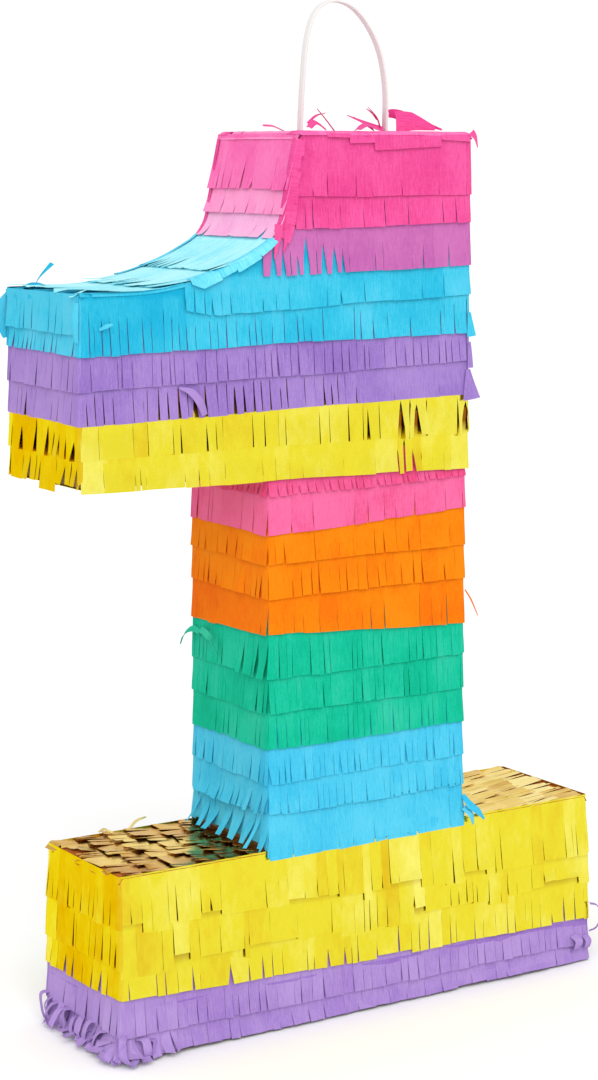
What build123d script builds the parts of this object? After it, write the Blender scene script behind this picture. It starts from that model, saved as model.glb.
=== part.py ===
from build123d import *
import math
import os

# A party pinata in the shape of the numeral 1, standing on a wide foot. A hollow box of cardboard
# panels is covered with rows of paper fringe and metal foil fringe, and hangs from a flat strap.
# Millimetres. +X runs along the foot, the flag points to -X, the front faces -Y, +Z is up.
# The origin is the centre of the bottom face.

# ---- cardboard box ----
board = 2.5               # thickness of the cardboard
half_depth = 33.5         # outer face of the front and back panels, from the middle plane
total_height = 417.5      # top of the head
stem_left = -45.5
stem_right = 62.5
flag_left = -142.5        # end of the flag
flag_bottom = 264.0
flag_top = 345.8          # level stretch of the curved panel
head_left = -30.8         # left corner of the head's top
curve_knee = (-40.2, 371.1)    # where the steep and the shallow stretches of the curve would meet
curve_foot = (-84.2, 345.8)    # where the shallow stretch would meet the level one
knee_radius = 21.5
foot_radius = 151.5
base_left = -124.5
base_right = 140.5
base_top = 85.7

# ---- paper covering ----
paper = 1.5               # build-up of one coat of fringe on the head and the stem
base_paper = 3.5          # the foot carries more layers
foil_backing = 0.8        # plain foil under the flag
fringe_hang = 4.0         # how far the lowest gold row hangs below the flag
floor_gap = 0.6           # the lowest row stops just short of the table

# Lower edge of each row, from the top of the object down.
head_rows = {
    "head_fringe_pink_1": 388.8,
    "head_fringe_pink_2": 375.4,
    "head_fringe_violet": 355.6,
    "head_fringe_cyan_1": 340.5,
    "head_fringe_cyan_2": 323.0,
    "head_fringe_purple_1": 308.5,
    "head_fringe_purple_2": 293.0,
    "head_fringe_gold_1": 276.5,
    "head_fringe_gold_2": flag_bottom - fringe_hang,
}
stem_rows = {
    "stem_fringe_pink_1": 254.5,
    "stem_fringe_pink_2": 238.0,
    "stem_fringe_orange_1": 222.3,
    "stem_fringe_orange_2": 206.3,
    "stem_fringe_orange_3": 187.0,
    "stem_fringe_green_1": 168.5,
    "stem_fringe_green_2": 152.0,
    "stem_fringe_green_3": 135.0,
    "stem_fringe_sky_1": 118.6,
    "stem_fringe_sky_2": 103.6,
    "stem_fringe_sky_3": base_top + paper,
}
base_rows = {
    "base_fringe_gold_1": 58.0,
    "base_fringe_gold_2": 42.0,
    "base_fringe_gold_3": 25.0,
    "base_fringe_purple_1": 11.0,
    "base_fringe_purple_2": floor_gap,
}

# ---- filling flap in the back panel ----
flap_clearance = 0.4
window_left = -27.5
window_right = 44.5
window_bottom = head_rows["head_fringe_purple_2"]
window_top = head_rows["head_fringe_cyan_1"]

# ---- hanging strap ----
strap_width = 4.0
strap_thick = 1.2
slot_clearance = 0.3
knot_radius = 4.5
patch_length = 74.0
patch_width = 30.0
hinge_height = 421.5      # height at which the strap bends over when it tips
tail_gap = 0.1
# The route of the strap's centreline, from the left exit to the right one, as (x, z).
strap_route = [
    (-7.7, hinge_height),
    (-6.6, 441.0),
    (-4.6, 462.0),
    (0.5, 475.5),
    (11.0, 480.0),
    (24.0, 476.0),
    (36.5, 460.0),
    (41.0, 439.9),
    (40.6, hinge_height),
]
arc_share = 0.45          # how much of the shorter run beside a corner its arc may take

# ---- tape inside the box ----
tape = 0.4
tape_leg = 12.0
tape_inset = 16.0         # the tape stops this far short of the box's corners

os.makedirs("parts", exist_ok=True)


def save(piece, label):
    """Labels a finished piece and writes its STEP file."""
    piece.part.label = label
    export_step(piece.part, f"parts/{label}.step")


def rectangle_between(x_low, x_high, z_low, z_high, mode=Mode.INTERSECT):
    """In the current sketch, a rectangle given by its sides."""
    with Locations(((x_low + x_high) / 2, (z_low + z_high) / 2)):
        Rectangle(x_high - x_low, z_high - z_low, mode=mode)


# ---- outlines, drawn in X and Z ----
with BuildSketch() as board_outline:
    with BuildLine():
        curve = FilletPolyline(
            (flag_left, flag_top),
            curve_foot,
            curve_knee,
            (head_left, total_height),
            radius=[foot_radius, knee_radius],
        )
        Polyline(
            (head_left, total_height),
            (stem_right, total_height),
            (stem_right, base_top),
            (base_right, base_top),
            (base_right, 0),
            (base_left, 0),
            (base_left, base_top),
            (stem_left, base_top),
            (stem_left, flag_bottom),
            (flag_left, flag_bottom),
            (flag_left, flag_top),
        )
    make_face()

with BuildSketch() as inner_outline:
    add(board_outline.sketch)
    offset(amount=-board, kind=Kind.INTERSECTION, mode=Mode.REPLACE)

with BuildSketch() as paper_outline:
    add(board_outline.sketch)
    offset(amount=paper, kind=Kind.INTERSECTION, mode=Mode.REPLACE)
    lowest_head_row = head_rows["head_fringe_gold_2"]
    rectangle_between(flag_left - paper, stem_right + paper, lowest_head_row, flag_bottom, Mode.ADD)

front_board = Plane.XZ.offset(half_depth - board)
back_board = Plane.XZ.offset(-half_depth + board)
front_paper = Plane.XZ.offset(half_depth)
back_paper = Plane.XZ.offset(-half_depth)

# ---- the two numeral panels ----
with BuildPart() as front_panel:
    with BuildSketch(front_board):
        add(board_outline.sketch)
    extrude(amount=board)
save(front_panel, "front_panel")

with BuildPart() as back_panel:
    with BuildSketch(back_board):
        add(board_outline.sketch)
        rectangle_between(window_left, window_right, window_bottom, window_top, Mode.SUBTRACT)
    extrude(amount=-board)
save(back_panel, "back_panel")


# ---- side panels that fit between the two numeral panels ----
def side_panel(label, x_low, x_high, z_low, z_high):
    """One panel of the box's rim: the stretch of the rim inside a rectangle in X and Z."""
    with BuildPart() as panel:
        with BuildSketch(Plane.XZ):
            add(board_outline.sketch)
            add(inner_outline.sketch, mode=Mode.SUBTRACT)
            rectangle_between(x_low, x_high, z_low, z_high)
        extrude(amount=half_depth - board, both=True)
    save(panel, label)


base_shelf = base_top - board      # underside of the foot's top panels
flag_floor = flag_bottom + board   # inner face of the flag's underside
side_panel("base_bottom_panel", base_left, base_right, 0, board)
side_panel("base_left_end_panel", base_left, base_left + board, board, base_top)
side_panel("base_right_end_panel", base_right - board, base_right, board, base_top)
side_panel("base_top_left_panel", base_left + board, stem_left, base_shelf, base_top)
side_panel("base_top_right_panel", stem_right, base_right - board, base_shelf, base_top)
side_panel("stem_left_panel", stem_left, stem_left + board, base_shelf, flag_floor)
side_panel("flag_underside_panel", flag_left, stem_left, flag_bottom, flag_floor)
side_panel("flag_end_panel", flag_left, flag_left + board, flag_floor, flag_top)
side_panel("flag_curve_panel", flag_left + board, 0, flag_top - board, total_height - board)
side_panel("right_side_panel", stem_right - board, stem_right, base_shelf, total_height - board)

# ---- head top, with two slots for the strap, and the patch glued under it ----
strap_exits = [(strap_route[0][0], 0), (strap_route[-1][0], 0)]
exit_middle = (strap_exits[0][0] + strap_exits[1][0]) / 2
slot_thick = strap_thick + 2 * slot_clearance
slot_width = strap_width + 2 * slot_clearance

with BuildPart() as head_top_panel:
    with BuildSketch(Plane.XZ):
        add(board_outline.sketch)
        add(inner_outline.sketch, mode=Mode.SUBTRACT)
        rectangle_between(head_left - board, stem_right, total_height - board, total_height)
    extrude(amount=half_depth - board, both=True)
    with BuildSketch(Plane.XY.offset(total_height)):
        with Locations(*strap_exits):
            Rectangle(slot_thick, slot_width)
    extrude(amount=-board, mode=Mode.SUBTRACT)
save(head_top_panel, "head_top_panel")

patch_top = total_height - board
with BuildPart() as anchor_patch:
    with BuildSketch(Plane.XY.offset(patch_top)):
        with Locations((exit_middle, 0)):
            Rectangle(patch_length, patch_width)
        with Locations(*strap_exits):
            Rectangle(slot_thick, slot_width, mode=Mode.SUBTRACT)
    extrude(amount=-board)
save(anchor_patch, "anchor_patch")

# ---- strap: two tails knotted under the patch, and the free loop above the head ----
strap_round = strap_width / 2
tail_top = hinge_height - strap_round - tail_gap
knot_height = patch_top - board - knot_radius
with BuildPart() as strap_tails:
    with BuildSketch(Plane.XY.offset(knot_height)):
        with Locations(*strap_exits):
            Rectangle(strap_thick, strap_width)
    extrude(amount=tail_top - knot_height)
    with Locations(*[(x, y, knot_height) for x, y in strap_exits]):
        Sphere(knot_radius)
save(strap_tails, "strap_tails")

route_points = [Vector(x, 0, z) for x, z in strap_route]
runs = [after - before for before, after in zip(route_points, route_points[1:])]
strap_radii = []
for before, after in zip(runs, runs[1:]):
    turn = math.radians(before.get_angle(after))
    shorter = min(before.length, after.length)
    strap_radii.append(arc_share * shorter / math.tan(turn / 2))

with BuildPart() as hanging_loop:
    with BuildLine() as strap_line:
        FilletPolyline(*route_points, radius=strap_radii)
    strap_start = Plane(origin=route_points[0], x_dir=(0, 1, 0), z_dir=runs[0])
    with BuildSketch(strap_start):
        Rectangle(strap_width, strap_thick)
    sweep(path=strap_line.line)
    for x, y in strap_exits:
        with BuildSketch(Plane.YZ.offset(x)):
            with Locations((0, hinge_height)):
                Circle(strap_round)
        extrude(amount=strap_thick / 2, both=True)
save(hanging_loop, "hanging_loop")

strap_length = sum(edge.length for edge in strap_line.edges())
strap_volume = strap_length * strap_width * strap_thick
print("strap arc radii, mm:", [round(r, 1) for r in strap_radii])
print("strap free length, mm:", round(strap_length, 1))
print("strap volume against section times length:", round(hanging_loop.part.volume / strap_volume, 3))

# ---- filling flap, which closes the window in the back panel ----
flap_left = window_left + flap_clearance
flap_right = window_right - flap_clearance
flap_bottom = window_bottom + flap_clearance
flap_top = window_top - flap_clearance
with BuildPart() as fill_flap:
    with BuildSketch(back_board):
        rectangle_between(flap_left, flap_right, flap_bottom, flap_top, Mode.ADD)
    extrude(amount=-board)
save(fill_flap, "fill_flap")

flap_row_heights = [
    flap_top,
    head_rows["head_fringe_cyan_2"],
    head_rows["head_fringe_purple_1"],
    flap_bottom,
]
flap_row_names = ["flap_fringe_cyan_2", "flap_fringe_purple_1", "flap_fringe_purple_2"]
for label, row_top, row_bottom in zip(flap_row_names, flap_row_heights, flap_row_heights[1:]):
    with BuildPart() as flap_row:
        with BuildSketch(back_paper):
            rectangle_between(flap_left, flap_right, row_bottom, row_top, Mode.ADD)
        extrude(amount=-paper)
    save(flap_row, label)


# ---- fringe rows on the head and the flag ----
def head_row(label, z_low, z_high):
    """One row of fringe round the front, the right side, the back and the flag's end."""
    reach = stem_right + paper
    with BuildPart() as row:
        with BuildSketch(front_paper):
            add(paper_outline.sketch)
            rectangle_between(flag_left - paper, reach, z_low, z_high)
        extrude(amount=paper)
        with BuildSketch(back_paper):
            add(paper_outline.sketch)
            rectangle_between(flag_left - paper, reach, z_low, z_high)
            rectangle_between(window_left, window_right, window_bottom, window_top, Mode.SUBTRACT)
        extrude(amount=-paper)
        with BuildSketch(Plane.XZ):
            add(paper_outline.sketch)
            rectangle_between(flag_left - paper, reach, z_low, z_high)
            rectangle_between(flag_left, stem_right, z_low, z_high, Mode.SUBTRACT)
        extrude(amount=half_depth, both=True)
    save(row, label)


row_top = total_height + paper
for label, row_bottom in head_rows.items():
    head_row(label, row_bottom, row_top)
    row_top = row_bottom


# ---- fringe rows round the stem and round the foot ----
def ring_row(label, x_low, x_high, z_low, z_high, thick):
    """One row of fringe all the way round a box whose sides are at x_low and x_high."""
    middle = (x_low + x_high) / 2
    wide = x_high - x_low
    with BuildPart() as row:
        with BuildSketch(Plane.XY.offset(z_low)):
            with Locations((middle, 0)):
                Rectangle(wide + 2 * thick, 2 * (half_depth + thick))
                Rectangle(wide, 2 * half_depth, mode=Mode.SUBTRACT)
        extrude(amount=z_high - z_low)
    save(row, label)


row_top = head_rows["head_fringe_gold_2"]
for label, row_bottom in stem_rows.items():
    ring_row(label, stem_left, stem_right, row_bottom, row_top, paper)
    row_top = row_bottom

row_top = base_top + paper
for label, row_bottom in base_rows.items():
    ring_row(label, base_left, base_right, row_bottom, row_top, base_paper)
    row_top = row_bottom


# ---- fringe strips over the curved left side of the head ----
def curve_strip(label, x_low, x_high, z_low, z_high):
    """The paper on the curved panel inside a rectangle in X and Z."""
    with BuildPart() as strip:
        with BuildSketch(Plane.XZ):
            add(paper_outline.sketch)
            add(board_outline.sketch, mode=Mode.SUBTRACT)
            rectangle_between(x_low, x_high, z_low, z_high)
        extrude(amount=half_depth, both=True)
    save(strip, label)


steep_left = -60.0        # the steep strips all lie to the right of this
strip_ends = [total_height, 392.0, 381.0, 369.5]
for number, (strip_top, strip_bottom) in enumerate(zip(strip_ends, strip_ends[1:]), start=1):
    curve_strip(f"curve_fringe_pink_{number}", steep_left, head_left, strip_bottom, strip_top)

shallow_ends = [head_left, -75.0, -106.0, flag_left]
for number, (strip_right, strip_left) in enumerate(zip(shallow_ends, shallow_ends[1:]), start=1):
    lowest = flag_top - board
    curve_strip(f"curve_fringe_cyan_{number}", strip_left, strip_right, lowest, strip_ends[-1])

# ---- paper on the level faces ----
with BuildPart() as head_top_fringe:
    with BuildSketch(Plane.XY.offset(total_height)):
        rectangle_between(head_left, stem_right, -half_depth, half_depth, Mode.ADD)
        with Locations(*strap_exits):
            Rectangle(slot_thick, slot_width, mode=Mode.SUBTRACT)
    extrude(amount=paper)
save(head_top_fringe, "head_top_fringe")

for label, x_low, x_high in (
    ("base_top_fringe_left", base_left, stem_left),
    ("base_top_fringe_right", stem_right, base_right),
):
    with BuildPart() as top_fringe:
        with BuildSketch(Plane.XY.offset(base_top)):
            rectangle_between(x_low, x_high, -half_depth, half_depth, Mode.ADD)
        extrude(amount=paper)
    save(top_fringe, label)

with BuildPart() as flag_underside_foil:
    with BuildSketch(Plane.XY.offset(flag_bottom)):
        rectangle_between(flag_left, stem_left, -half_depth, half_depth, Mode.ADD)
    extrude(amount=-foil_backing)
save(flag_underside_foil, "flag_underside_foil")


# ---- paper tape that joins the side panels to the numeral panels, inside the box ----
def tape_ranges(face, direction):
    """The range across the thickness of a piece of tape on a face, and the range across its leg."""
    return sorted([face, face + direction * tape]), sorted([face, face + direction * tape_leg])


def level_tape(x_low, x_high, z_face, up, front):
    """The legs of an L of tape along X, between a level panel and a numeral panel, as X, Y and Z ranges."""
    z_skin, z_leg = tape_ranges(z_face, up)
    y_skin, y_leg = tape_ranges(-front * (half_depth - board), front)
    return [((x_low, x_high), y_leg, z_skin), ((x_low, x_high), y_skin, z_leg)]


def upright_tape(z_low, z_high, x_face, right, front):
    """The legs of an L of tape along Z, between an upright panel and a numeral panel."""
    x_skin, x_leg = tape_ranges(x_face, right)
    y_skin, y_leg = tape_ranges(-front * (half_depth - board), front)
    return [(x_skin, y_leg, (z_low, z_high)), (x_leg, y_skin, (z_low, z_high))]


for label, front in (("front_seam_tapes", 1), ("back_seam_tapes", -1)):
    legs = [
        *level_tape(base_left + tape_inset, base_right - tape_inset, board, 1, front),
        *level_tape(base_left + tape_inset, stem_left - tape_inset, base_shelf, -1, front),
        *level_tape(stem_right + tape_inset, base_right - tape_inset, base_shelf, -1, front),
        *level_tape(flag_left + tape_inset, stem_left - tape_inset, flag_floor, 1, front),
        *upright_tape(tape_inset, base_shelf - tape_inset, base_left + board, 1, front),
        *upright_tape(tape_inset, base_shelf - tape_inset, base_right - board, -1, front),
        *upright_tape(base_top + tape_inset, flag_bottom - tape_inset, stem_left + board, 1, front),
        *upright_tape(base_top + tape_inset, patch_top - tape_inset, stem_right - board, -1, front),
        *upright_tape(flag_floor + tape_inset, flag_top - tape_inset, flag_left + board, 1, front),
    ]
    with BuildPart() as seam_tapes:
        for x_range, y_range, z_range in legs:
            with BuildSketch(Plane.XY.offset(z_range[0])):
                rectangle_between(*x_range, *y_range, Mode.ADD)
            extrude(amount=z_range[1] - z_range[0])
    save(seam_tapes, label)
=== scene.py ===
"""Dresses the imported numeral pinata: cut paper fringe, foil, cardboard, tape and its hanging strap."""

import logging
import math
from collections.abc import Callable, Sequence
from dataclasses import dataclass, field, replace
from enum import Enum
from typing import Protocol

import bpy
import numpy as np
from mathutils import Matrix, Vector

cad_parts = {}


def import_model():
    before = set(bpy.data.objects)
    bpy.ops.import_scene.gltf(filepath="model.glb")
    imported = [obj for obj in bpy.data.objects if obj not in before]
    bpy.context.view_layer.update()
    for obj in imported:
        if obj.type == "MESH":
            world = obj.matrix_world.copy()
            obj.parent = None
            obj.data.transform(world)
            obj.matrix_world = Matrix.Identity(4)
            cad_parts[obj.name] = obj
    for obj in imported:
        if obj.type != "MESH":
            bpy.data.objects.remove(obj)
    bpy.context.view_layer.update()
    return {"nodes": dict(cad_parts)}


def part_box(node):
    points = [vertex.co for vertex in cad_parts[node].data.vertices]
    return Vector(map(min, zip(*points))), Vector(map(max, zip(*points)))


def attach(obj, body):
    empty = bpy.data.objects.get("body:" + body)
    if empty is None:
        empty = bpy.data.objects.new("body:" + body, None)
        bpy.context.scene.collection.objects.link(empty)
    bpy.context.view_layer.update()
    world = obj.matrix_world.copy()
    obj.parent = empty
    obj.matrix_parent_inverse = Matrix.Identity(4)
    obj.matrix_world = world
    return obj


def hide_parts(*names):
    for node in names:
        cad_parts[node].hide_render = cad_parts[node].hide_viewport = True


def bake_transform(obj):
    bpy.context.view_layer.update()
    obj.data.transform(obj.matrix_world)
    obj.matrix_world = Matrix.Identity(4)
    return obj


LOG = logging.getLogger("pinata")
MM = 0.001

# All in millimetres, apart from the angle.
ON_FLOOR = 0.3
JOIN_FINENESS = 500.0
CREASE = math.radians(48.0)
PAPER = 0.16
LEAST_DISTANCE = 0.14
NEAR_AN_END = 1.5
NEAR_A_FOLD = 1.6

Array = np.ndarray
Colour = tuple[float, float, float]
Point = tuple[float, float, float]
Height = Callable[[Array], Array]
Socket = bpy.types.NodeSocket


# ---------------------------------------------------------------- finishes


class Slot(Enum):
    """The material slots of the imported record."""

    STRAP = "strap"
    PINK = "tissue_pink"
    VIOLET = "tissue_violet"
    CYAN = "tissue_cyan"
    PURPLE = "tissue_purple"
    GOLD = "foil_gold"
    ORANGE = "tissue_orange"
    GREEN = "tissue_green"
    SKY = "tissue_sky"


class NodeSheet:
    """Adds shader nodes to one material and joins them."""

    def __init__(self, name: str) -> None:
        """Starts a material that holds only its output.

        Args:
            name: The material's name.
        """
        self.material = bpy.data.materials.new(name)
        self.material.use_nodes = True
        self.tree = self.material.node_tree
        self.tree.nodes.clear()
        self.output = self.tree.nodes.new("ShaderNodeOutputMaterial")

    def add(self, kind: str, values: dict | None = None, **settings: object) -> bpy.types.Node:
        """Adds a node.

        Args:
            kind: The node's type, without its "ShaderNode" beginning.
            values: Socket values by socket name.
            **settings: Properties of the node itself.

        Returns:
            The new node.
        """
        node = self.tree.nodes.new("ShaderNode" + kind)
        for key, value in settings.items():
            setattr(node, key, value)
        for key, value in (values or {}).items():
            node.inputs[key].default_value = value
        return node

    def join(self, source: Socket, target: Socket) -> None:
        """Links one socket to another."""
        self.tree.links.new(source, target)

    def noise(self, vector: Socket, stretch: Point, detail: float = 3.0) -> Socket:
        """Adds noise over a stretched vector.

        Args:
            vector: The socket that gives the place.
            stretch: The noise's fineness along each axis.
            detail: How many finer layers the noise has.

        Returns:
            The noise's value socket.
        """
        mapping = self.add("Mapping", {"Scale": stretch})
        self.join(vector, mapping.inputs["Vector"])
        noise = self.add("TexNoise", {"Scale": 1.0, "Detail": detail, "Roughness": 0.55})
        self.join(mapping.outputs["Vector"], noise.inputs["Vector"])
        return noise.outputs["Fac"]

    def ramp(self, value: Socket, low: float, high: float) -> Socket:
        """Turns a value's range from low to high into 0 to 1.

        Args:
            value: The socket to read.
            low: The value that becomes 0.
            high: The value that becomes 1.

        Returns:
            The new value's socket.
        """
        node = self.add("MapRange", {"From Min": low, "From Max": high})
        self.join(value, node.inputs["Value"])
        return node.outputs["Result"]

    def blend(
        self,
        share: Socket,
        first: Colour | Socket,
        second: Colour | Socket,
    ) -> Socket:
        """Mixes two colours.

        Args:
            share: The socket that gives the second colour's share.
            first: The colour, or its socket, at share 0.
            second: The colour, or its socket, at share 1.

        Returns:
            The mixed colour's socket.
        """
        node = self.add("Mix", data_type="RGBA")
        self.join(share, node.inputs[0])
        for place, colour in ((6, first), (7, second)):
            if isinstance(colour, Socket):
                self.join(colour, node.inputs[place])
            else:
                node.inputs[place].default_value = (*colour, 1.0)
        return node.outputs[2]

    def total(self, *parts: tuple[Socket, float]) -> Socket:
        """Adds up values, each times its weight.

        Args:
            *parts: Pairs of a socket and its weight.

        Returns:
            The sum's socket.
        """
        result = None
        for socket, weight in parts:
            node = self.add("Math", operation="MULTIPLY_ADD")
            self.join(socket, node.inputs[0])
            node.inputs[1].default_value = weight
            node.inputs[2].default_value = 0.0
            if result is not None:
                self.join(result, node.inputs[2])
            result = node.outputs[0]
        return result

    def bump(self, height: Socket, distance: float, strength: float) -> Socket:
        """Adds a bump.

        Args:
            height: The socket that gives the height.
            distance: The bump's depth in metres for a height of 1.
            strength: How strongly it tells.

        Returns:
            The normal's socket.
        """
        node = self.add("Bump", {"Distance": distance, "Strength": strength})
        self.join(height, node.inputs["Height"])
        return node.outputs["Normal"]

    def close(self, shader: Socket) -> bpy.types.Material:
        """Joins the last shader to the output and gives the material."""
        self.join(shader, self.output.inputs["Surface"])
        return self.material


@dataclass(frozen=True)
class TissuePaper:
    """Thin dyed crepe tissue, a little see-through.

    Attributes:
        name: The material's name.
        colour: The paper's colour, linear.
        deep: Its colour where the dyeing is heavy, and the painted shade where a layer is tucked under the
            next.
        pale: Its colour where the paper is thin or rubbed.
        glow: The share of light that comes through the sheet.
    """

    name: str
    colour: Colour
    deep: Colour
    pale: Colour
    glow: float = 0.10

    def make(self) -> bpy.types.Material:
        """Builds the material: fibres along the fingers, cloudy dyeing, each finger's own tone, and painted
        shade where a layer is tucked under the next.

        Returns:
            The material.
        """
        sheet = NodeSheet(self.name)
        grain = sheet.add("Attribute", attribute_name="grain").outputs["Vector"]
        tone = sheet.add("Attribute", attribute_name="tone").outputs["Fac"]
        tuck = sheet.add("Attribute", attribute_name="tuck").outputs["Fac"]
        place = sheet.add("TexCoord").outputs["Object"]
        fibre = sheet.noise(grain, (2.6, 0.22, 1.0), 4.0)
        fleck = sheet.noise(grain, (1.1, 1.1, 1.0), 5.0)
        cloud = sheet.noise(place, (38.0, 38.0, 38.0), 3.0)
        # Painted shade: the paper turns towards deep where the tuck attribute says it lies under the next
        # layer.
        dye_and_tuck_shade = sheet.total((tone, 0.26), (fibre, 0.36), (cloud, 0.34), (fleck, 0.16), (tuck, -0.16))
        dark = sheet.ramp(dye_and_tuck_shade, 0.575, 0.38)
        light = sheet.ramp(dye_and_tuck_shade, 0.55, 0.80)
        colour = sheet.blend(dark, self.colour, self.deep)
        colour = sheet.blend(light, colour, self.pale)
        height = sheet.total((fibre, 0.7), (fleck, 0.5))
        normal = sheet.bump(height, 0.00022, 0.55)
        paper = sheet.add("BsdfPrincipled", {"Roughness": 0.78, "Specular IOR Level": 0.07})
        sheet.join(colour, paper.inputs["Base Color"])
        sheet.join(normal, paper.inputs["Normal"])
        through = sheet.add("BsdfTranslucent")
        sheet.join(colour, through.inputs["Color"])
        mix = sheet.add("MixShader", {0: self.glow})
        sheet.join(paper.outputs["BSDF"], mix.inputs[1])
        sheet.join(through.outputs["BSDF"], mix.inputs[2])
        return sheet.close(mix.outputs["Shader"])


@dataclass(frozen=True)
class MetalFoil:
    """Crinkled metallised film, with painted reflections and painted shade in its colour.

    Attributes:
        name: The material's name.
        colour: The film's reflection, linear.
        deep: The painted shade where a layer is tucked under the next.
        painted_shade_reflection: A painted darker reflection, laid by tone and crinkle noise where the film
            is meant to lean away from the light.
        painted_glint: A painted highlight, laid by tone and crinkle noise where the film is meant to lean
            towards the light.
        roughness: How blurred the reflection is.
        rim: Its tint at a grazing angle.
    """

    name: str
    colour: Colour
    deep: Colour
    painted_shade_reflection: Colour
    painted_glint: Colour
    roughness: float = 0.2
    rim: Colour = (1.0, 0.84, 0.32)

    def make(self) -> bpy.types.Material:
        """Builds the material: long shallow crinkles, fine creases, each finger's own tone, painted
        reflections, and painted shade where a layer is tucked under the next.

        Returns:
            The material.
        """
        sheet = NodeSheet(self.name)
        grain = sheet.add("Attribute", attribute_name="grain").outputs["Vector"]
        tone = sheet.add("Attribute", attribute_name="tone").outputs["Fac"]
        tuck = sheet.add("Attribute", attribute_name="tuck").outputs["Fac"]
        place = sheet.add("TexCoord").outputs["Object"]
        swell = sheet.noise(place, (46.0, 46.0, 30.0), 2.0)
        crease = sheet.noise(grain, (0.42, 0.16, 1.0), 4.0)
        scratch = sheet.noise(grain, (5.0, 0.5, 1.0), 3.0)
        # Painted reflections: tone and crinkle noise mix in a darker reflection and a highlight.
        painted_reflection_mix = sheet.total((tone, 0.7), (swell, 0.45), (crease, 0.3))
        colour = sheet.blend(sheet.ramp(painted_reflection_mix, 0.68, 0.28), self.colour, self.painted_shade_reflection)
        colour = sheet.blend(sheet.ramp(painted_reflection_mix, 0.72, 1.0), colour, self.painted_glint)
        # Painted shade where the tuck attribute says the film lies under the next layer.
        colour = sheet.blend(tuck, colour, self.deep)
        rough = sheet.ramp(scratch, 0.2, 0.8)
        spread = sheet.add("MapRange", {"To Min": self.roughness * 0.7, "To Max": self.roughness * 1.5})
        sheet.join(rough, spread.inputs["Value"])
        height = sheet.total((swell, 1.6), (crease, 0.5), (scratch, 0.03))
        normal = sheet.bump(height, 0.0006, 0.5)
        foil = sheet.add("BsdfPrincipled", {"Metallic": 1.0, "Specular Tint": (*self.rim, 1.0)})
        sheet.join(colour, foil.inputs["Base Color"])
        sheet.join(spread.outputs["Result"], foil.inputs["Roughness"])
        sheet.join(normal, foil.inputs["Normal"])
        return sheet.close(foil.outputs["BSDF"])


@dataclass(frozen=True)
class Board:
    """Uncoated corrugated cardboard or kraft tape.

    Attributes:
        name: The material's name.
        colour: The board's colour, linear.
        fleck: The colour of its darker fibres.
        flute: How strongly the flutes tell through the liner.
        roughness: How matt it is.
    """

    name: str
    colour: Colour
    fleck: Colour
    flute: float = 0.5
    roughness: float = 0.86

    def make(self) -> bpy.types.Material:
        """Builds the material: flutes, long fibres and flecks.

        Returns:
            The material.
        """
        sheet = NodeSheet(self.name)
        place = sheet.add("TexCoord").outputs["Object"]
        fibre = sheet.noise(place, (160.0, 160.0, 900.0), 5.0)
        blot = sheet.noise(place, (70.0, 70.0, 70.0), 3.0)
        wave = sheet.add("TexWave", {"Scale": 42.0, "Distortion": 0.6}, bands_direction="Z")
        sheet.join(place, wave.inputs["Vector"])
        dirt = sheet.total((fibre, 0.7), (blot, 0.5), (wave.outputs["Fac"], 0.08 * self.flute))
        colour = sheet.blend(sheet.ramp(dirt, 0.42, 0.86), self.fleck, self.colour)
        height = sheet.total((wave.outputs["Fac"], self.flute), (fibre, 0.4))
        board = sheet.add("BsdfPrincipled", {"Roughness": self.roughness, "Specular IOR Level": 0.25})
        sheet.join(colour, board.inputs["Base Color"])
        sheet.join(sheet.bump(height, 0.0002, 0.6), board.inputs["Normal"])
        return sheet.close(board.outputs["BSDF"])


@dataclass(frozen=True)
class WovenTape:
    """Soft white woven strap.

    Attributes:
        name: The material's name.
        colour: The threads' colour, linear.
        shadow: The colour between the threads.
    """

    name: str
    colour: Colour
    shadow: Colour

    def make(self) -> bpy.types.Material:
        """Builds the material: a herringbone weave along the strap's own length and width.

        Returns:
            The material.
        """
        sheet = NodeSheet(self.name)
        grain = sheet.add("Attribute", attribute_name="grain").outputs["Vector"]
        across = sheet.add("TexWave", {"Scale": 0.9, "Distortion": 0.3}, bands_direction="X")
        along = sheet.add("TexWave", {"Scale": 0.6, "Distortion": 0.3}, bands_direction="Y")
        sheet.join(grain, across.inputs["Vector"])
        sheet.join(grain, along.inputs["Vector"])
        fuzz = sheet.noise(grain, (6.0, 3.0, 1.0), 4.0)
        weave = sheet.total((across.outputs["Fac"], 0.4), (along.outputs["Fac"], 0.4), (fuzz, 0.4))
        colour = sheet.blend(sheet.ramp(weave, 0.2, 0.75), self.shadow, self.colour)
        cloth = sheet.add("BsdfPrincipled", {"Roughness": 0.8, "Specular IOR Level": 0.15})
        sheet.join(colour, cloth.inputs["Base Color"])
        sheet.join(sheet.bump(weave, 0.00005, 0.4), cloth.inputs["Normal"])
        return sheet.close(cloth.outputs["BSDF"])


Finish = TissuePaper | MetalFoil | Board | WovenTape

PINK = TissuePaper("pink_tissue", (0.78, 0.082, 0.30), (0.66, 0.028, 0.20), (0.85, 0.14, 0.38))
CORAL = TissuePaper("coral_pink_tissue", (0.80, 0.125, 0.31), (0.70, 0.045, 0.16), (0.85, 0.18, 0.38))
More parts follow.
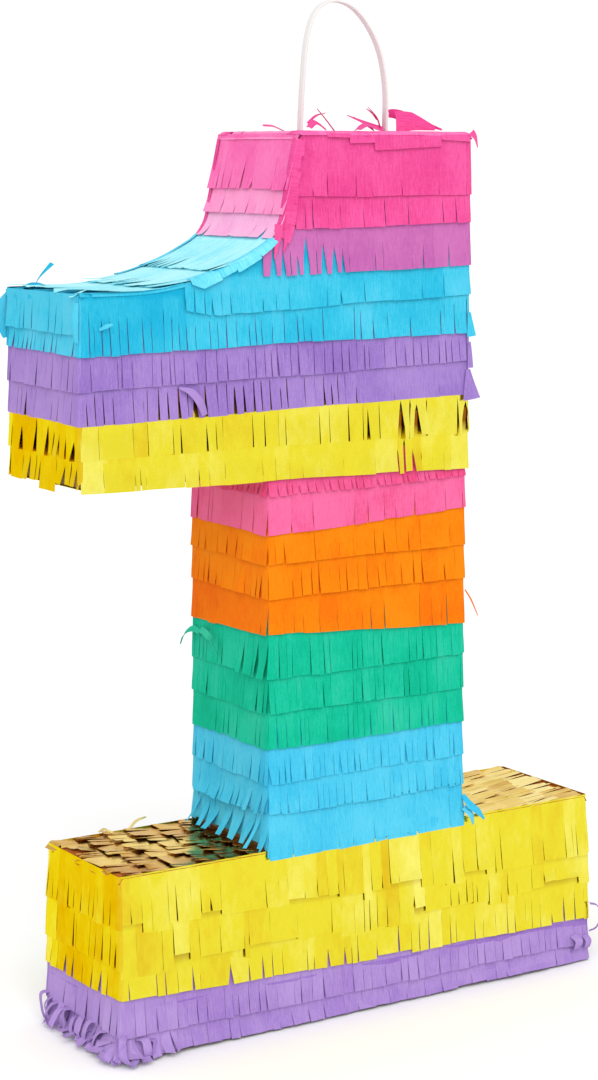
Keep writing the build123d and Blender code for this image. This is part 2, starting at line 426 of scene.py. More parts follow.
# Pink made paler for faces that tilt up to the light: painted sheen, slight, half and full.
PINK_PAINTED_SLIGHT_SHEEN = TissuePaper("pink_tissue_painted_slight_sheen", (0.90, 0.165, 0.43), (0.80, 0.07, 0.32), (0.93, 0.26, 0.53))
PINK_PAINTED_HALF_SHEEN = TissuePaper("pink_tissue_painted_half_sheen", (0.94, 0.30, 0.56), (0.88, 0.17, 0.42), (0.95, 0.40, 0.64))
PINK_PAINTED_SHEEN = TissuePaper("pink_tissue_painted_sheen", (0.92, 0.45, 0.69), (0.80, 0.26, 0.58), (0.93, 0.55, 0.76))
VIOLET = TissuePaper("violet_tissue", (0.53, 0.139, 0.41), (0.42, 0.09, 0.35), (0.62, 0.20, 0.48))
CYAN = TissuePaper("cyan_tissue", (0.040, 0.50, 0.70), (0.008, 0.38, 0.61), (0.13, 0.59, 0.78))
# Cyan made pale for the curve's up-facing slope: painted sheen.
CYAN_PAINTED_SHEEN = TissuePaper("cyan_tissue_painted_sheen", (0.42, 0.89, 0.95), (0.13, 0.72, 0.87), (0.52, 0.93, 0.96))
PURPLE = TissuePaper("purple_tissue", (0.32, 0.195, 0.53), (0.23, 0.12, 0.44), (0.44, 0.28, 0.60))
ORANGE = TissuePaper("orange_tissue", (0.86, 0.215, 0.002), (0.80, 0.13, 0.002), (0.88, 0.27, 0.008))
GREEN = TissuePaper("green_tissue", (0.004, 0.48, 0.29), (0.002, 0.36, 0.20), (0.05, 0.55, 0.38))
SKY = TissuePaper("sky_tissue", (0.070, 0.53, 0.75), (0.025, 0.42, 0.69), (0.14, 0.60, 0.80))
LILAC = TissuePaper("lilac_tissue", (0.375, 0.238, 0.575), (0.28, 0.15, 0.50), (0.47, 0.32, 0.65))
# Gold foil: its colour, then painted shade under the next layer, a painted darker reflection and a painted
# highlight.
GOLD = MetalFoil(
    "gold_foil", (0.80, 0.69, 0.035), (0.28, 0.09, 0.008), (0.70, 0.39, 0.006), (0.90, 0.84, 0.16),
)
# The gold foil recoloured for the foot's up-facing tops: a painted reflection, with painted shade, a painted
# darker reflection and a painted highlight.
GOLD_PAINTED_FOR_TOPS = MetalFoil(
    "gold_foil_painted_reflection_tops", (0.86, 0.62, 0.17), (0.30, 0.09, 0.012), (0.52, 0.22, 0.03), (0.95, 0.80, 0.34), 0.2,
    (1.0, 0.94, 0.72),
)
# Dull brown sheet under the foot's top foil: painted shade seen through the gaps between the fingers.
PAINTED_SHADE_UNDER_FOIL = TissuePaper("painted_shade_under_foil", (0.42, 0.11, 0.016), (0.24, 0.05, 0.008), (0.66, 0.26, 0.05), 0.0)
# Cyan made paler for the folds over the curve's edges: part painted sheen.
CYAN_PAINTED_HALF_SHEEN = TissuePaper("cyan_tissue_painted_half_sheen", (0.14, 0.66, 0.84), (0.03, 0.47, 0.70), (0.34, 0.82, 0.92))
CARDBOARD = Board("kraft_board", (0.40, 0.25, 0.13), (0.24, 0.14, 0.07))
KRAFT_TAPE = Board("kraft_paper_tape", (0.46, 0.31, 0.17), (0.32, 0.20, 0.10), 0.0, 0.6)
STRAP = WovenTape("white_strap", (0.72, 0.70, 0.68), (0.64, 0.62, 0.60))


class Finishes:
    """Makes each finish once and hands it out."""

    def __init__(self) -> None:
        """Starts with none made."""
        self.made: dict[str, bpy.types.Material] = {}

    def get(self, finish: Finish) -> bpy.types.Material:
        """Gives a finish's material, and builds it the first time."""
        if finish.name not in self.made:
            self.made[finish.name] = finish.make()
        return self.made[finish.name]


# ---------------------------------------------------------------- shapes that paper is laid on


def smooth(value: Array) -> Array:
    """Eases a value from 0 to 1."""
    value = np.clip(value, 0.0, 1.0)
    return value * value * (3.0 - 2.0 * value)


def node_box(node: str) -> tuple[Array, Array]:
    """Gives a CAD node's lowest and highest corners in millimetres."""
    low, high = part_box(node)
    return np.array(low) / MM, np.array(high) / MM


class Lay(Protocol):
    """A surface that paper is laid on: s runs along a strip, q down it and d out of it."""

    def place(self, s: Array, q: Array, d: Array) -> Array:
        """Gives the points at those places, in millimetres."""

    def folds(self) -> Sequence[float]:
        """Gives the places along s where the surface turns a corner."""


@dataclass(frozen=True)
class Wall:
    """The four upright faces of a box. q is minus the height, and s starts at the front left corner.

    Attributes:
        x_low: The left face.
        x_high: The right face.
        half: The front and back faces, from the middle plane.
        bend: The radius of the paper's fold at a corner.
    """

    x_low: float
    x_high: float
    half: float
    bend: float = 0.8

    @property
    def wide(self) -> float:
        """The front's width."""
        return self.x_high - self.x_low

    @property
    def deep(self) -> float:
        """The sides' width."""
        return 2.0 * self.half

    @property
    def around(self) -> float:
        """The way all round."""
        return 2.0 * (self.wide + self.deep)

    def folds(self) -> Sequence[float]:
        """Gives the four corners, and the first again on either side."""
        corners = (0.0, self.wide, self.wide + self.deep, 2.0 * self.wide + self.deep)
        return (*corners, self.around, corners[1] + self.around, corners[3] - self.around)

    def place(self, s: Array, q: Array, d: Array) -> Array:
        """Gives the points at those places.

        Args:
            s: The way round.
            q: Minus the height.
            d: The distance out of the board.

        Returns:
            Points, with X, Y and Z along the last axis.
        """
        s, q, d = np.broadcast_arrays(s, q, d)
        s = np.mod(s, self.around)
        edges = np.array([0.0, self.wide, self.wide + self.deep, 2.0 * self.wide + self.deep])
        side = np.searchsorted(edges, s, side="right") - 1
        starts = np.array(
            [
                [self.x_low, -self.half],
                [self.x_high, -self.half],
                [self.x_high, self.half],
                [self.x_low, self.half],
            ]
        )[side]
        along = np.array([[1, 0], [0, 1], [-1, 0], [0, -1]], float)[side]
        out = np.array([[0, -1], [1, 0], [0, 1], [-1, 0]], float)[side]
        length = np.array([self.wide, self.deep, self.wide, self.deep])[side]
        run = s - edges[side]
        first = np.clip((self.bend - run) / (2.0 * self.bend), 0.0, 0.5)
        last = np.clip((run - length + self.bend) / (2.0 * self.bend), 0.0, 0.5)
        turn = ((last - first) * math.pi / 2.0)[..., None]
        normal = out * np.cos(turn) + along * np.sin(turn)
        straight = np.clip(run, self.bend, length - self.bend)[..., None]
        middle = starts + along * straight - out * self.bend
        flat = middle + normal * (self.bend + d[..., None])
        return np.concatenate([flat, -q[..., None]], axis=-1)


class Outline:
    """A line in X and Z with its length and the direction out of the board at each place."""

    def __init__(
        self, points: Sequence[tuple[float, float]], radii: Sequence[float] = (), turn: float = 1.0
    ) -> None:
        """Rounds the line's corners and measures it.

        Args:
            points: The line's corners as X and Z.
            radii: The radius at each inner corner.
            turn: 1 if the outside is on the line's right, seen from the front, and -1 if on its left.
        """
        corners = [np.array(p, float) for p in points]
        line = [corners[0]]
        for before, corner, after, radius in zip(corners, corners[1:], corners[2:], radii):
            line.extend(self.corner_arc(before, corner, after, radius))
        line.append(corners[-1])
        self.line = self.divided(line)
        steps = np.diff(self.line, axis=0)
        lengths = np.linalg.norm(steps, axis=1)
        self.at = np.concatenate([[0.0], np.cumsum(lengths)])
        direction = np.gradient(self.line, self.at, axis=0)
        direction /= np.linalg.norm(direction, axis=1)[:, None]
        self.direction = direction
        self.normal = turn * np.stack([direction[:, 1], -direction[:, 0]], axis=1)

    @staticmethod
    def corner_arc(before: Array, corner: Array, after: Array, radius: float) -> list[Array]:
        """Gives points on the arc that rounds a corner.

        Args:
            before: The point before the corner.
            corner: The corner.
            after: The point after it.
            radius: The arc's radius.

        Returns:
            The arc's points.
        """
        back = (before - corner) / np.linalg.norm(before - corner)
        ahead = (after - corner) / np.linalg.norm(after - corner)
        half = math.acos(float(np.clip(back @ ahead, -1.0, 1.0))) / 2.0
        reach = radius / math.tan(half)
        middle = corner + (back + ahead) / np.linalg.norm(back + ahead) * radius / math.sin(half)
        start, end = corner + back * reach - middle, corner + ahead * reach - middle
        sweep = math.pi - 2.0 * half
        weights = np.linspace(0.0, 1.0, 15)
        return [
            middle + (start * math.sin((1 - w) * sweep) + end * math.sin(w * sweep)) / math.sin(sweep)
            for w in weights
        ]

    @staticmethod
    def divided(line: Sequence[Array], step: float = 1.5) -> Array:
        """Divides a line into short even runs.

        Args:
            line: The line's corners.
            step: The longest run.

        Returns:
            The points, in order.
        """
        points = [line[0]]
        for before, after in zip(line, line[1:]):
            count = max(1, int(math.ceil(np.linalg.norm(after - before) / step)))
            points.extend(before + (after - before) * (i + 1) / count for i in range(count))
        return np.array(points)

    @property
    def length(self) -> float:
        """The line's whole length."""
        return float(self.at[-1])

    def point(self, q: Array) -> tuple[Array, Array]:
        """Gives the points and the outward directions at those lengths, straight on beyond the ends.

        Args:
            q: Lengths along the line.

        Returns:
            The points and the directions, with X and Z along the last axis.
        """
        inside = np.clip(q, 0.0, self.length)
        beyond = (q - inside)[..., None]
        place = np.stack([np.interp(inside, self.at, self.line[:, k]) for k in (0, 1)], axis=-1)
        along = np.stack([np.interp(inside, self.at, self.direction[:, k]) for k in (0, 1)], axis=-1)
        out = np.stack([np.interp(inside, self.at, self.normal[:, k]) for k in (0, 1)], axis=-1)
        return place + along * beyond, out

    def at_x(self, x: float) -> float:
        """Gives the length at which the line reaches an X."""
        order = np.argsort(self.line[:, 0])
        return float(np.interp(x, self.line[order, 0], self.at[order]))

    def at_z(self, z: float) -> float:
        """Gives the length at which the line reaches a Z."""
        order = np.argsort(self.line[:, 1])
        return float(np.interp(z, self.line[order, 1], self.at[order]))

    def height(self, x: Array) -> Array:
        """Gives the line's Z at each X."""
        order = np.argsort(self.line[:, 0])
        return np.interp(x, self.line[order, 0], self.line[order, 1])


@dataclass(frozen=True)
class Slope:
    """The face over an outline, from the front edge at s = 0 to the back. q runs along the outline."""

    outline: Outline
    half: float

    def folds(self) -> Sequence[float]:
        """Gives no folds."""
        return ()

    def place(self, s: Array, q: Array, d: Array) -> Array:
        """Gives the points at those places.

        Args:
            s: The way from the front edge to the back.
            q: The length along the outline.
            d: The distance out of the board.

        Returns:
            Points, with X, Y and Z along the last axis.
        """
        s, q, d = np.broadcast_arrays(s, q, d)
        place, out = self.outline.point(q)
        flat = place + out * d[..., None]
        return np.stack([flat[..., 0], s - self.half, flat[..., 1]], axis=-1)


@dataclass(frozen=True)
class Ridge:
    """The edge between the face over an outline and the front or back. s runs along it, q across it.

    Attributes:
        outline: The edge.
        half: The front and back faces, from the middle plane.
        side: -1 for the front edge and 1 for the back one.
        bend: The radius of the paper's fold.
    """

    outline: Outline
    half: float
    side: float = -1.0
    bend: float = 0.8

    def folds(self) -> Sequence[float]:
        """Gives no folds along s."""
        return ()

    def place(self, s: Array, q: Array, d: Array) -> Array:
        """Gives the points at those places.

        Args:
            s: The length along the edge.
            q: The way across it, below 0 on the top face and above 0 on the upright one.
            d: The distance out of the board.

        Returns:
            Points, with X, Y and Z along the last axis.
        """
        s, q, d = np.broadcast_arrays(s, q, d)
        place, out = self.outline.point(s)
        turn = np.clip(q / self.bend, -1.0, 1.0) * math.pi / 4.0 + math.pi / 4.0
        inward = np.maximum(-q - self.bend, 0.0) + self.bend
        down = np.maximum(q - self.bend, 0.0) + self.bend
        radius = self.bend + d
        y = self.half - inward + radius * np.sin(turn)
        flat = place + out * (-down + radius * np.cos(turn))[..., None]
        return np.stack([flat[..., 0], self.side * y, flat[..., 1]], axis=-1)


# ---------------------------------------------------------------- cut paper


@dataclass(frozen=True)
class Coat:
    """How far the paper on one part of the box stands off its board, in millimetres.

    Attributes:
        ends: The X of the part's left and right ends.
        half: Half of the part's depth.
        sides: How far the paper stands off at the left and the right.
        faces: How far it stands off at the front and the back.
        heights: The heights between which the coat thins towards the top.
        thin: The share of the stand-off left above them, along X and along Y.
    """

    ends: tuple[float, float]
    half: float
    sides: tuple[float, float]
    faces: tuple[float, float]
    heights: tuple[float, float] = (0.0, 1.0)
    thin: tuple[float, float] = (1.0, 1.0)

    def spread(self, points: Array) -> Array:
        """Moves points outward onto the coat.

        Args:
            points: The points, in millimetres.

        Returns:
            The moved points.
        """
        left, right = self.ends
        off = (points[:, 0] - (left + right) / 2.0) * 2.0 / (right - left)
        deep = points[:, 1] / self.half
        moved = points.copy()
        share_x, share_y = (np.interp(points[:, 2], self.heights, (1.0, thin)) for thin in self.thin)
        moved[:, 0] += share_x * off * np.abs(off) * np.where(off > 0.0, self.sides[1], self.sides[0])
        moved[:, 1] += share_y * deep * np.where(deep > 0.0, self.faces[1], self.faces[0])
        moved[:, 2] = np.maximum(moved[:, 2], ON_FLOOR)
        return moved


class PaperMesh:
    """Gathers grids of paper, joins them where they meet, and gives them a sheet's thickness."""

    def __init__(self, thickness: float, coat: Coat) -> None:
        """Starts an empty sheet.

        Args:
            thickness: The paper's thickness in millimetres.
            coat: How far it stands off the board.
        """
        self.thickness = thickness
        self.coat = coat
        self.points: list[Array] = []
        self.grain: list[Array] = []
        self.tone: list[Array] = []
        self.tuck: list[Array] = []
        self.quads: list[Array] = []
        self.count = 0

    def add(self, points: Array, grain: Array, tone: float, tuck: Array, flip: bool) -> None:
        """Adds a grid of points.

        Args:
            points: Rows of points in millimetres.
            grain: The place of each point on the flat paper, as s and q.
            tone: The grid's own tone, near 0.5.
            tuck: How far each point is hidden under the next layer, 0 to 1, which the materials darken as
                painted shade.
            flip: Whether the grid faces the other way.
        """
        rows, columns = points.shape[:2]
        index = np.arange(rows * columns).reshape(rows, columns) + self.count
        quads = np.stack([index[:-1, :-1], index[1:, :-1], index[1:, 1:], index[:-1, 1:]], axis=-1)
        quads = quads.reshape(-1, 4)
        self.quads.append(quads[:, ::-1] if flip else quads)
        self.points.append(points.reshape(-1, 3))
        self.grain.append(grain.reshape(-1, 2))
        self.tone.append(np.full(rows * columns, tone))
        self.tuck.append(np.broadcast_to(tuck, (rows, columns)).reshape(-1))
        self.count += rows * columns

    def build(self, name: str, material: bpy.types.Material) -> bpy.types.Object:
        """Makes the closed sheet.

        Args:
            name: The piece's name.
            material: Its finish.

        Returns:
            The new object, in place.
        """
        points, grain = np.concatenate(self.points), np.concatenate(self.grain)
        tone, tuck = np.concatenate(self.tone), np.concatenate(self.tuck)
        quads = np.concatenate(self.quads)
        keys = np.round(points * JOIN_FINENESS).astype(np.int64)
        _, first, index = np.unique(keys, axis=0, return_index=True, return_inverse=True)
        index = index.reshape(-1)
        points, grain, tone, tuck = self.coat.spread(points[first]), grain[first], tone[first], tuck[first]
        quads = index[quads]
        whole = np.array([len(set(q)) == 4 for q in quads.tolist()])
        quads = quads[whole]
        normals = self.point_normals(points, quads)
        skin = self.thickness / 2.0
        count = len(points)
        edges = np.concatenate([quads[:, [i, (i + 1) % 4]] for i in range(4)])
        pairs = np.sort(edges, axis=1)
        _, where, uses = np.unique(pairs, axis=0, return_inverse=True, return_counts=True)
        rim = edges[uses[where.reshape(-1)] == 1]
        walls = np.stack([rim[:, 0], rim[:, 0] + count, rim[:, 1] + count, rim[:, 1]], axis=1)
        faces = np.concatenate([quads, quads[:, ::-1] + count, walls])
        vertices = np.concatenate([points + normals * skin, points - normals * skin]) * MM
        mesh = bpy.data.meshes.new(name)
        mesh.from_pydata(vertices.tolist(), [], faces.tolist())
        flat = np.concatenate([grain, tone[:, None]], axis=1)
        self.write(mesh, "grain", "FLOAT_VECTOR", "vector", np.concatenate([flat, flat]))
        for title, values in (("tone", tone), ("tuck", tuck)):
            self.write(mesh, title, "FLOAT", "value", np.concatenate([values, values]))
        mesh.polygons.foreach_set("use_smooth", [True] * len(mesh.polygons))
        mesh.set_sharp_from_angle(angle=CREASE)
        mesh.materials.append(material)
        mesh.update()
        piece = bpy.data.objects.new(name, mesh)
        bpy.context.scene.collection.objects.link(piece)
        return piece

    @staticmethod
    def point_normals(points: Array, quads: Array) -> Array:
        """Gives each point's normal from the faces round it.

        Args:
            points: The points.
            quads: The four points of each face.

        Returns:
            A direction of length 1 for each point.
        """
        first = points[quads[:, 2]] - points[quads[:, 0]]
        second = points[quads[:, 3]] - points[quads[:, 1]]
        face = np.cross(first, second)
        normals = np.zeros_like(points)
        for corner in range(4):
            np.add.at(normals, quads[:, corner], face)
        return normals / np.maximum(np.linalg.norm(normals, axis=1), 1e-9)[:, None]

    @staticmethod
    def write(mesh: bpy.types.Mesh, name: str, kind: str, key: str, values: Array) -> None:
        """Stores a value at each of a mesh's points."""
        attribute = mesh.attributes.new(name, kind, "POINT")
        attribute.data.foreach_set(key, values.astype(np.float32).ravel())


@dataclass(frozen=True)
class Cut:
    """How a stretch of a strip is cut into fingers, and how they hang. Millimetres and degrees.

    Attributes:
        width: A finger's usual width.
        spread: How much the widths differ.
        wide_share: The share of stretches left uncut.
        wide: An uncut stretch's width.
        start: Where the slits start, as a share of the strip's visible height.
        start_spread: How much the slits' starts differ, as a share of that height.
        gap: A slit's width.
        vee: How far a slit opens at its foot.
        lift: How far a finger's tip stands off the layer below.
        lean: How far fingers lean to one side.
        twist: How far fingers turn about their length.
        curl: How far a curling finger's tip turns out.
        curl_share: The share of fingers that curl.
        ragged: How uneven the lower edge is.
        stagger: How much groups of fingers differ in length.
        tint: How much lighter the paper is, below 0 where it is darker; on the left ends, the foot's left
            curls and the foot's tops it is painted light and shade.
        patch: How much groups of fingers differ in tone.
    """

    width: float = 4.8
    spread: float = 1.2
    wide_share: float = 0.18
    wide: float = 11.0
    start: float = 0.3
    start_spread: float = 0.12
    gap: float = 0.16
    vee: float = 0.3
    lift: float = 0.45
    lean: float = 1.0
    twist: float = 4.0
    curl: float = 0.0
    curl_share: float = 0.0
    ragged: float = 0.15
    stagger: float = 0.0
    tint: float = 0.0
    patch: float = 0.04


@dataclass(frozen=True)
class Ribbon:
    """A loose finger of paper that bends through the air.

    Attributes:
        line: The points along its middle, in millimetres.
        across: The directions of its width at its start and its end.
        widths: Its width at each point of the line.
        tone: How light it is, near 0.5.
    """

    line: Sequence[Point]
    across: tuple[Point, Point]
    widths: Sequence[float]
    tone: float = 0.5

    def fill(self, mesh: PaperMesh) -> None:
        """Adds the finger to a mesh.

        Args:
            mesh: The mesh to add to.
        """
        marks = np.linspace(0.0, 1.0, len(self.line))
        fine = np.linspace(0.0, 1.0, 6 * (len(self.line) - 1) + 1)
        middle = np.stack([self.bend(marks, np.array(self.line)[:, k], fine) for k in range(3)], axis=1)
        first, last = (np.array(a, float) / np.linalg.norm(a) for a in self.across)
        wide = np.interp(fine, marks, self.widths)
        side = first[None, :] * (1.0 - fine[:, None]) + last[None, :] * fine[:, None]
        step = np.gradient(middle, axis=0)
        step /= np.linalg.norm(step, axis=1)[:, None]
        side -= step * np.sum(side * step, axis=1)[:, None]
        side /= np.linalg.norm(side, axis=1)[:, None]
        count = max(2, int(max(self.widths) / 2.5))
        share = np.linspace(-0.5, 0.5, count + 1)
        bow = np.cross(step, side) * 0.12 * wide[:, None]
        points = middle[:, None, :] + side[:, None, :] * (wide[:, None] * share[None, :])[..., None]
        points += bow[:, None, :] * (1.0 - 4.0 * share[None, :, None] ** 2)
        run = np.concatenate([[0.0], np.cumsum(np.linalg.norm(np.diff(middle, axis=0), axis=1))])
        grain = np.stack(np.broadcast_arrays(wide[:, None] * share[None, :], run[:, None]), axis=-1)
        mesh.add(points, grain + np.array(self.line[0][:2]), self.tone, np.zeros((1, 1)), False)

    @staticmethod
    def bend(marks: Array, values: Array, fine: Array) -> Array:
        """Runs a smooth line through some values.

        Args:
            marks: The values' places.
            values: The values.
            fine: The places to read.

        Returns:
            The values at those places.
        """
        slopes = np.gradient(values, marks)
        i = np.clip(np.searchsorted(marks, fine, side="right") - 1, 0, len(marks) - 2)
        h = marks[i + 1] - marks[i]
        t = (fine - marks[i]) / h
        return (
            (2 * t**3 - 3 * t**2 + 1) * values[i]
            + (t**3 - 2 * t**2 + t) * h * slopes[i]
            + (3 * t**2 - 2 * t**3) * values[i + 1]
            + (t**3 - t**2) * h * slopes[i + 1]
        )


@dataclass
class Strip:
    """One strip of paper glued along its top and cut into fingers below.

    Attributes:
        lay: The surface it is glued to.
        start: Where it starts along s.
        end: Where it ends.
        top: Its upper edge as q.
        shown: Where it comes out from under the strip above, as q.
        foot: Its lower edge as q.
        cut: How it is cut.
        zones: Stretches cut another way, as start, end and cut.
        rest: The distance of its glued part and of its foot from the board.
        wave: How uneven the glued part is.
        closed: Whether its end meets its start.
        seed: The number that its chance values come from.
        gaps: Stretches with no fingers.
        head_rows: How many rows of points the glued part has.
        finger_rows: How many rows of points a finger has.
        chance: The source of its chance values.
        phases: The phases of the paper's waves.
        group_ends: Where each group of fingers ends along s.
        group_sizes: How much longer than the rest each group is.
        group_tones: How much lighter than the rest each group is.
    """

    lay: Lay
    start: float
    end: float
    top: Height
    shown: Height
    foot: Height
    cut: Cut
    zones: Sequence[tuple[float, float, Cut]] = ()
    rest: tuple[float, float] = (0.4, 1.0)
    wave: float = 0.07
    closed: bool = False
    seed: int = 1
    gaps: Sequence[tuple[float, float]] = ()
    head_rows: int = 3
    finger_rows: int = 7
    chance: np.random.Generator = field(init=False)
    phases: Array = field(init=False)
    group_ends: Array = field(init=False)
    group_sizes: Array = field(init=False)
    group_tones: Array = field(init=False)

    def __post_init__(self) -> None:
        """Draws the phases of the paper's waves and the groups of fingers."""
        self.chance = np.random.default_rng(self.seed)
        self.phases = self.chance.uniform(0.0, 2.0 * math.pi, 6)
        steps = self.chance.uniform(7.0, 26.0, int((self.end - self.start) / 7.0) + 2)
        self.group_ends = self.start + np.cumsum(steps)
        self.group_sizes = self.chance.normal(0.0, 1.0, len(steps))
        self.group_tones = self.chance.normal(0.0, 1.0, len(steps))

    def style(self, s: float) -> Cut:
        """Gives the cut at a place along the strip."""
        for low, high, cut in self.zones:
            if low <= s < high:
                return cut
        return self.cut

    def slits(self) -> list[float]:
        """Chooses where the slits are.

        Returns:
            The slits' places along s, with the strip's two ends.
        """
        marks = [self.start]
        while marks[-1] < self.end:
            cut = self.style(marks[-1])
            wide = self.chance.random() < cut.wide_share
            width = self.chance.normal(cut.wide if wide else cut.width, cut.spread * (2.0 if wide else 1.0))
            marks.append(marks[-1] + max(width, 0.45 * cut.width))
        marks = [m for m in marks if m < self.end - NEAR_AN_END]
        fixed = [e for stretch in self.gaps for e in stretch]
        marks = [m for m in marks if all(abs(m - e) > NEAR_AN_END for e in fixed)]
        folds = [f for f in self.lay.folds() if self.start < f < self.end]
        moved = []
        for mark in marks:
            near = [f for f in folds if abs(mark - f) < NEAR_A_FOLD]
            moved.append(near[0] + math.copysign(NEAR_A_FOLD, mark - near[0]) if near else mark)
        return sorted({round(m, 4) for m in [*moved, *fixed, self.end]})

    def ripple(self, s: Array, q: Array) -> Array:
        """Gives the glued paper's unevenness at each place.

        Args:
            s: The places along the strip.
            q: The places down it.

        Returns:
            How far the paper rises there.
        """
        p = self.phases
        long = np.sin(s / 9.3 + p[0] + 0.6 * np.sin(q / 7.1 + p[1])) * np.sin(q / 5.3 + p[2])
        short = np.sin(s / 3.7 + p[3]) * np.sin(q / 3.1 + p[4] + 0.4 * np.sin(s / 5.0 + p[5]))
        return self.wave * (0.65 * long + 0.35 * short)

    def fill(self, mesh: PaperMesh) -> None:
        """Adds the strip's fingers to a mesh.

        Args:
            mesh: The mesh to add to.
        """
        marks = np.array(self.slits())
        probe = np.array([(self.start + self.end) / 2.0 + 0.01])
        flip = self.faces_in(probe)
        height = self.foot(marks) - self.shown(marks)
        styles = [self.style(float(m)) for m in marks]
        starts = np.array(
            [
                self.chance.normal(style.start, style.start_spread) * h
                for style, h in zip(styles, height)
            ]
        )
        starts = self.shown(marks) + np.clip(starts, 0.02 * height, height - 2.0)
        if self.closed:
            starts[-1] = starts[0]
        openings = np.array([self.chance.exponential(style.vee) for style in styles])
        for i in range(len(marks) - 1):
            middle = (marks[i] + marks[i + 1]) / 2.0
            if any(low < middle < high for low, high in self.gaps):
                continue
            self.finger(mesh, marks[i : i + 2], starts[i : i + 2], openings[i : i + 2], i, flip)

    def faces_in(self, s: Array) -> bool:
        """Tells whether a plain grid on this surface would face the board.

        Args:
            s: A place along the strip.

        Returns:
            Whether it would.
        """
        q = self.foot(s)
        at = self.lay.place(s, q, np.zeros(1))[0]
        across = self.lay.place(s + 1.0, q, np.zeros(1))[0] - at
        down = self.lay.place(s, q + 1.0, np.zeros(1))[0] - at
        out = self.lay.place(s, q, np.ones(1))[0] - at
        return bool(np.cross(down, across) @ out < 0.0)

    def finger(
        self, mesh: PaperMesh, sides: Array, starts: Array, openings: Array, number: int, flip: bool
    ) -> None:
        """Adds one finger with the glued paper above it.

        Args:
            mesh: The mesh to add to.
            sides: The finger's two sides along s.
            starts: Where the slit on each side starts, as q.
            openings: How far each slit opens at its foot.
            number: The finger's place in the strip.
            flip: Whether the grid has to be turned over.
        """
        chance = self.chance
        cut = self.style(float(sides[0]))
        folded = [f for f in self.lay.folds() if sides[0] < f < sides[1]]
        freedom = 0.25 if folded else 1.0
        width = float(sides[1] - sides[0])
        stiff = min(1.0, 6.0 / width)
        lift = abs(chance.normal(cut.lift, 0.5 * cut.lift)) * freedom + 0.12 * (number % 2)
        lean = math.tan(math.radians(chance.normal(0.0, cut.lean) * freedom * stiff))
        twist = math.radians(chance.normal(0.0, cut.twist) * stiff) * (0.0 if folded else 1.0)
        curls = chance.random() < cut.curl_share and not folded
        curl = math.radians(cut.curl * chance.uniform(0.5, 1.3)) if curls else 0.0
        group = int(np.searchsorted(self.group_ends, sides.mean()))
        ragged = chance.normal(0.0, cut.ragged) + cut.stagger * self.group_sizes[group]
        slant = chance.normal(0.0, 0.4 * cut.ragged)
        # The tint paints light and shade on some faces; the patch is each group's own random tone.
        shade = cut.tint + cut.patch * self.group_tones[group]
        tone = float(np.clip(chance.normal(0.5, 0.07) + shade, 0.0, 1.0))
        columns = self.columns(sides, folded)
        share = (columns - sides[0]) / width
        top, shown = self.top(columns), self.shown(columns)
        foot = self.foot(columns) + ragged + slant * (share - 0.5)
        line = shown + 0.02 * (foot - shown)
        line = np.maximum(line, top)
        if np.all(foot - top < 1.2):
            return
        foot = np.maximum(foot, top + 0.3)
        line = np.minimum(line, foot - 0.2)
        head = np.linspace(0.0, 1.0, self.head_rows)[:-1, None]
        body = np.linspace(0.0, 1.0, self.finger_rows + 1)[:, None]
        q = np.concatenate([top + (line - top) * head, line + (foot - line) * body])
        last = float(np.max(foot))
        free = float(np.max(starts))
        t = np.clip((q - free) / max(last - free, 1.0), 0.0, 1.0)
        s = np.broadcast_to(columns, q.shape).copy()
        for side, sign, weight in ((0, 1.0, 1.0 - share), (1, -1.0, share)):
            below = np.clip(q - starts[side], 0.0, None)
            open_by = cut.gap * smooth(below / 1.2) + openings[side] * below / max(last - starts[side], 1.0)
            s += sign * 0.5 * np.minimum(open_by, 0.7 * width) * weight
        rise = smooth((q - shown) / np.maximum(foot - shown, 1.0))
        d = self.rest[0] + (self.rest[1] - self.rest[0]) * rise + self.ripple(s, q) * (1.0 - 0.5 * t)
        d = d - min(0.18, self.rest[0] - 0.2) * smooth((shown - q) / 6.0)
        offset = (share - 0.5) * width
        d = d + lift * t**1.6 + offset * np.sin(twist * t) + 0.10 * t * np.cos(share * math.pi * 2.0) * stiff
        s = s + lean * np.clip(q - free, 0.0, None)
        if curl:
            q, d = self.curled(q, d, t, curl, last - free)
        # Mask for the painted shade under the row above.
        tuck = smooth((shown - q + 0.5) / 3.0)
        points = self.lay.place(s, q, np.maximum(d, LEAST_DISTANCE))
        mesh.add(points, np.stack([s, q], axis=-1), tone, tuck, flip)

    @staticmethod
    def columns(sides: Array, folded: Sequence[float]) -> Array:
        """Gives the places along s of a finger's columns, closer together at a fold.

        Args:
            sides: The finger's two sides.
            folded: The folds between them.

        Returns:
            The places, in order.
        """
        count = max(2, int(math.ceil((sides[1] - sides[0]) / 2.6)))
        places = list(np.linspace(sides[0], sides[1], count + 1))
        for fold in folded:
            places = [p for p in places if abs(p - fold) > 1.3 or p in (sides[0], sides[1])]
            places += [fold - 0.8, fold - 0.3, fold + 0.3, fold + 0.8]
        return np.array(sorted(places))

    @staticmethod
    def curled(q: Array, d: Array, t: Array, curl: float, length: float) -> tuple[Array, Array]:
        """Rolls a finger's lower part out of the surface.

        Args:
            q: The places down the finger.
            d: The distances from the board.
            t: The share of the finger's free length at each place.
            curl: The tip's angle in radians.
            length: The finger's free length.

        Returns:
            The new q and d.
        """
        steps = np.linspace(0.0, 1.0, 41)
        angle = curl * steps**1.5
        down = np.concatenate([[0.0], np.cumsum(np.cos(angle[1:]) / 40.0)]) * length
        out = np.concatenate([[0.0], np.cumsum(np.sin(angle[1:]) / 40.0)]) * length
        shift = np.interp(t, steps, down) - t * length
        return q + shift, d + np.interp(t, steps, out)


# ---------------------------------------------------------------- the box


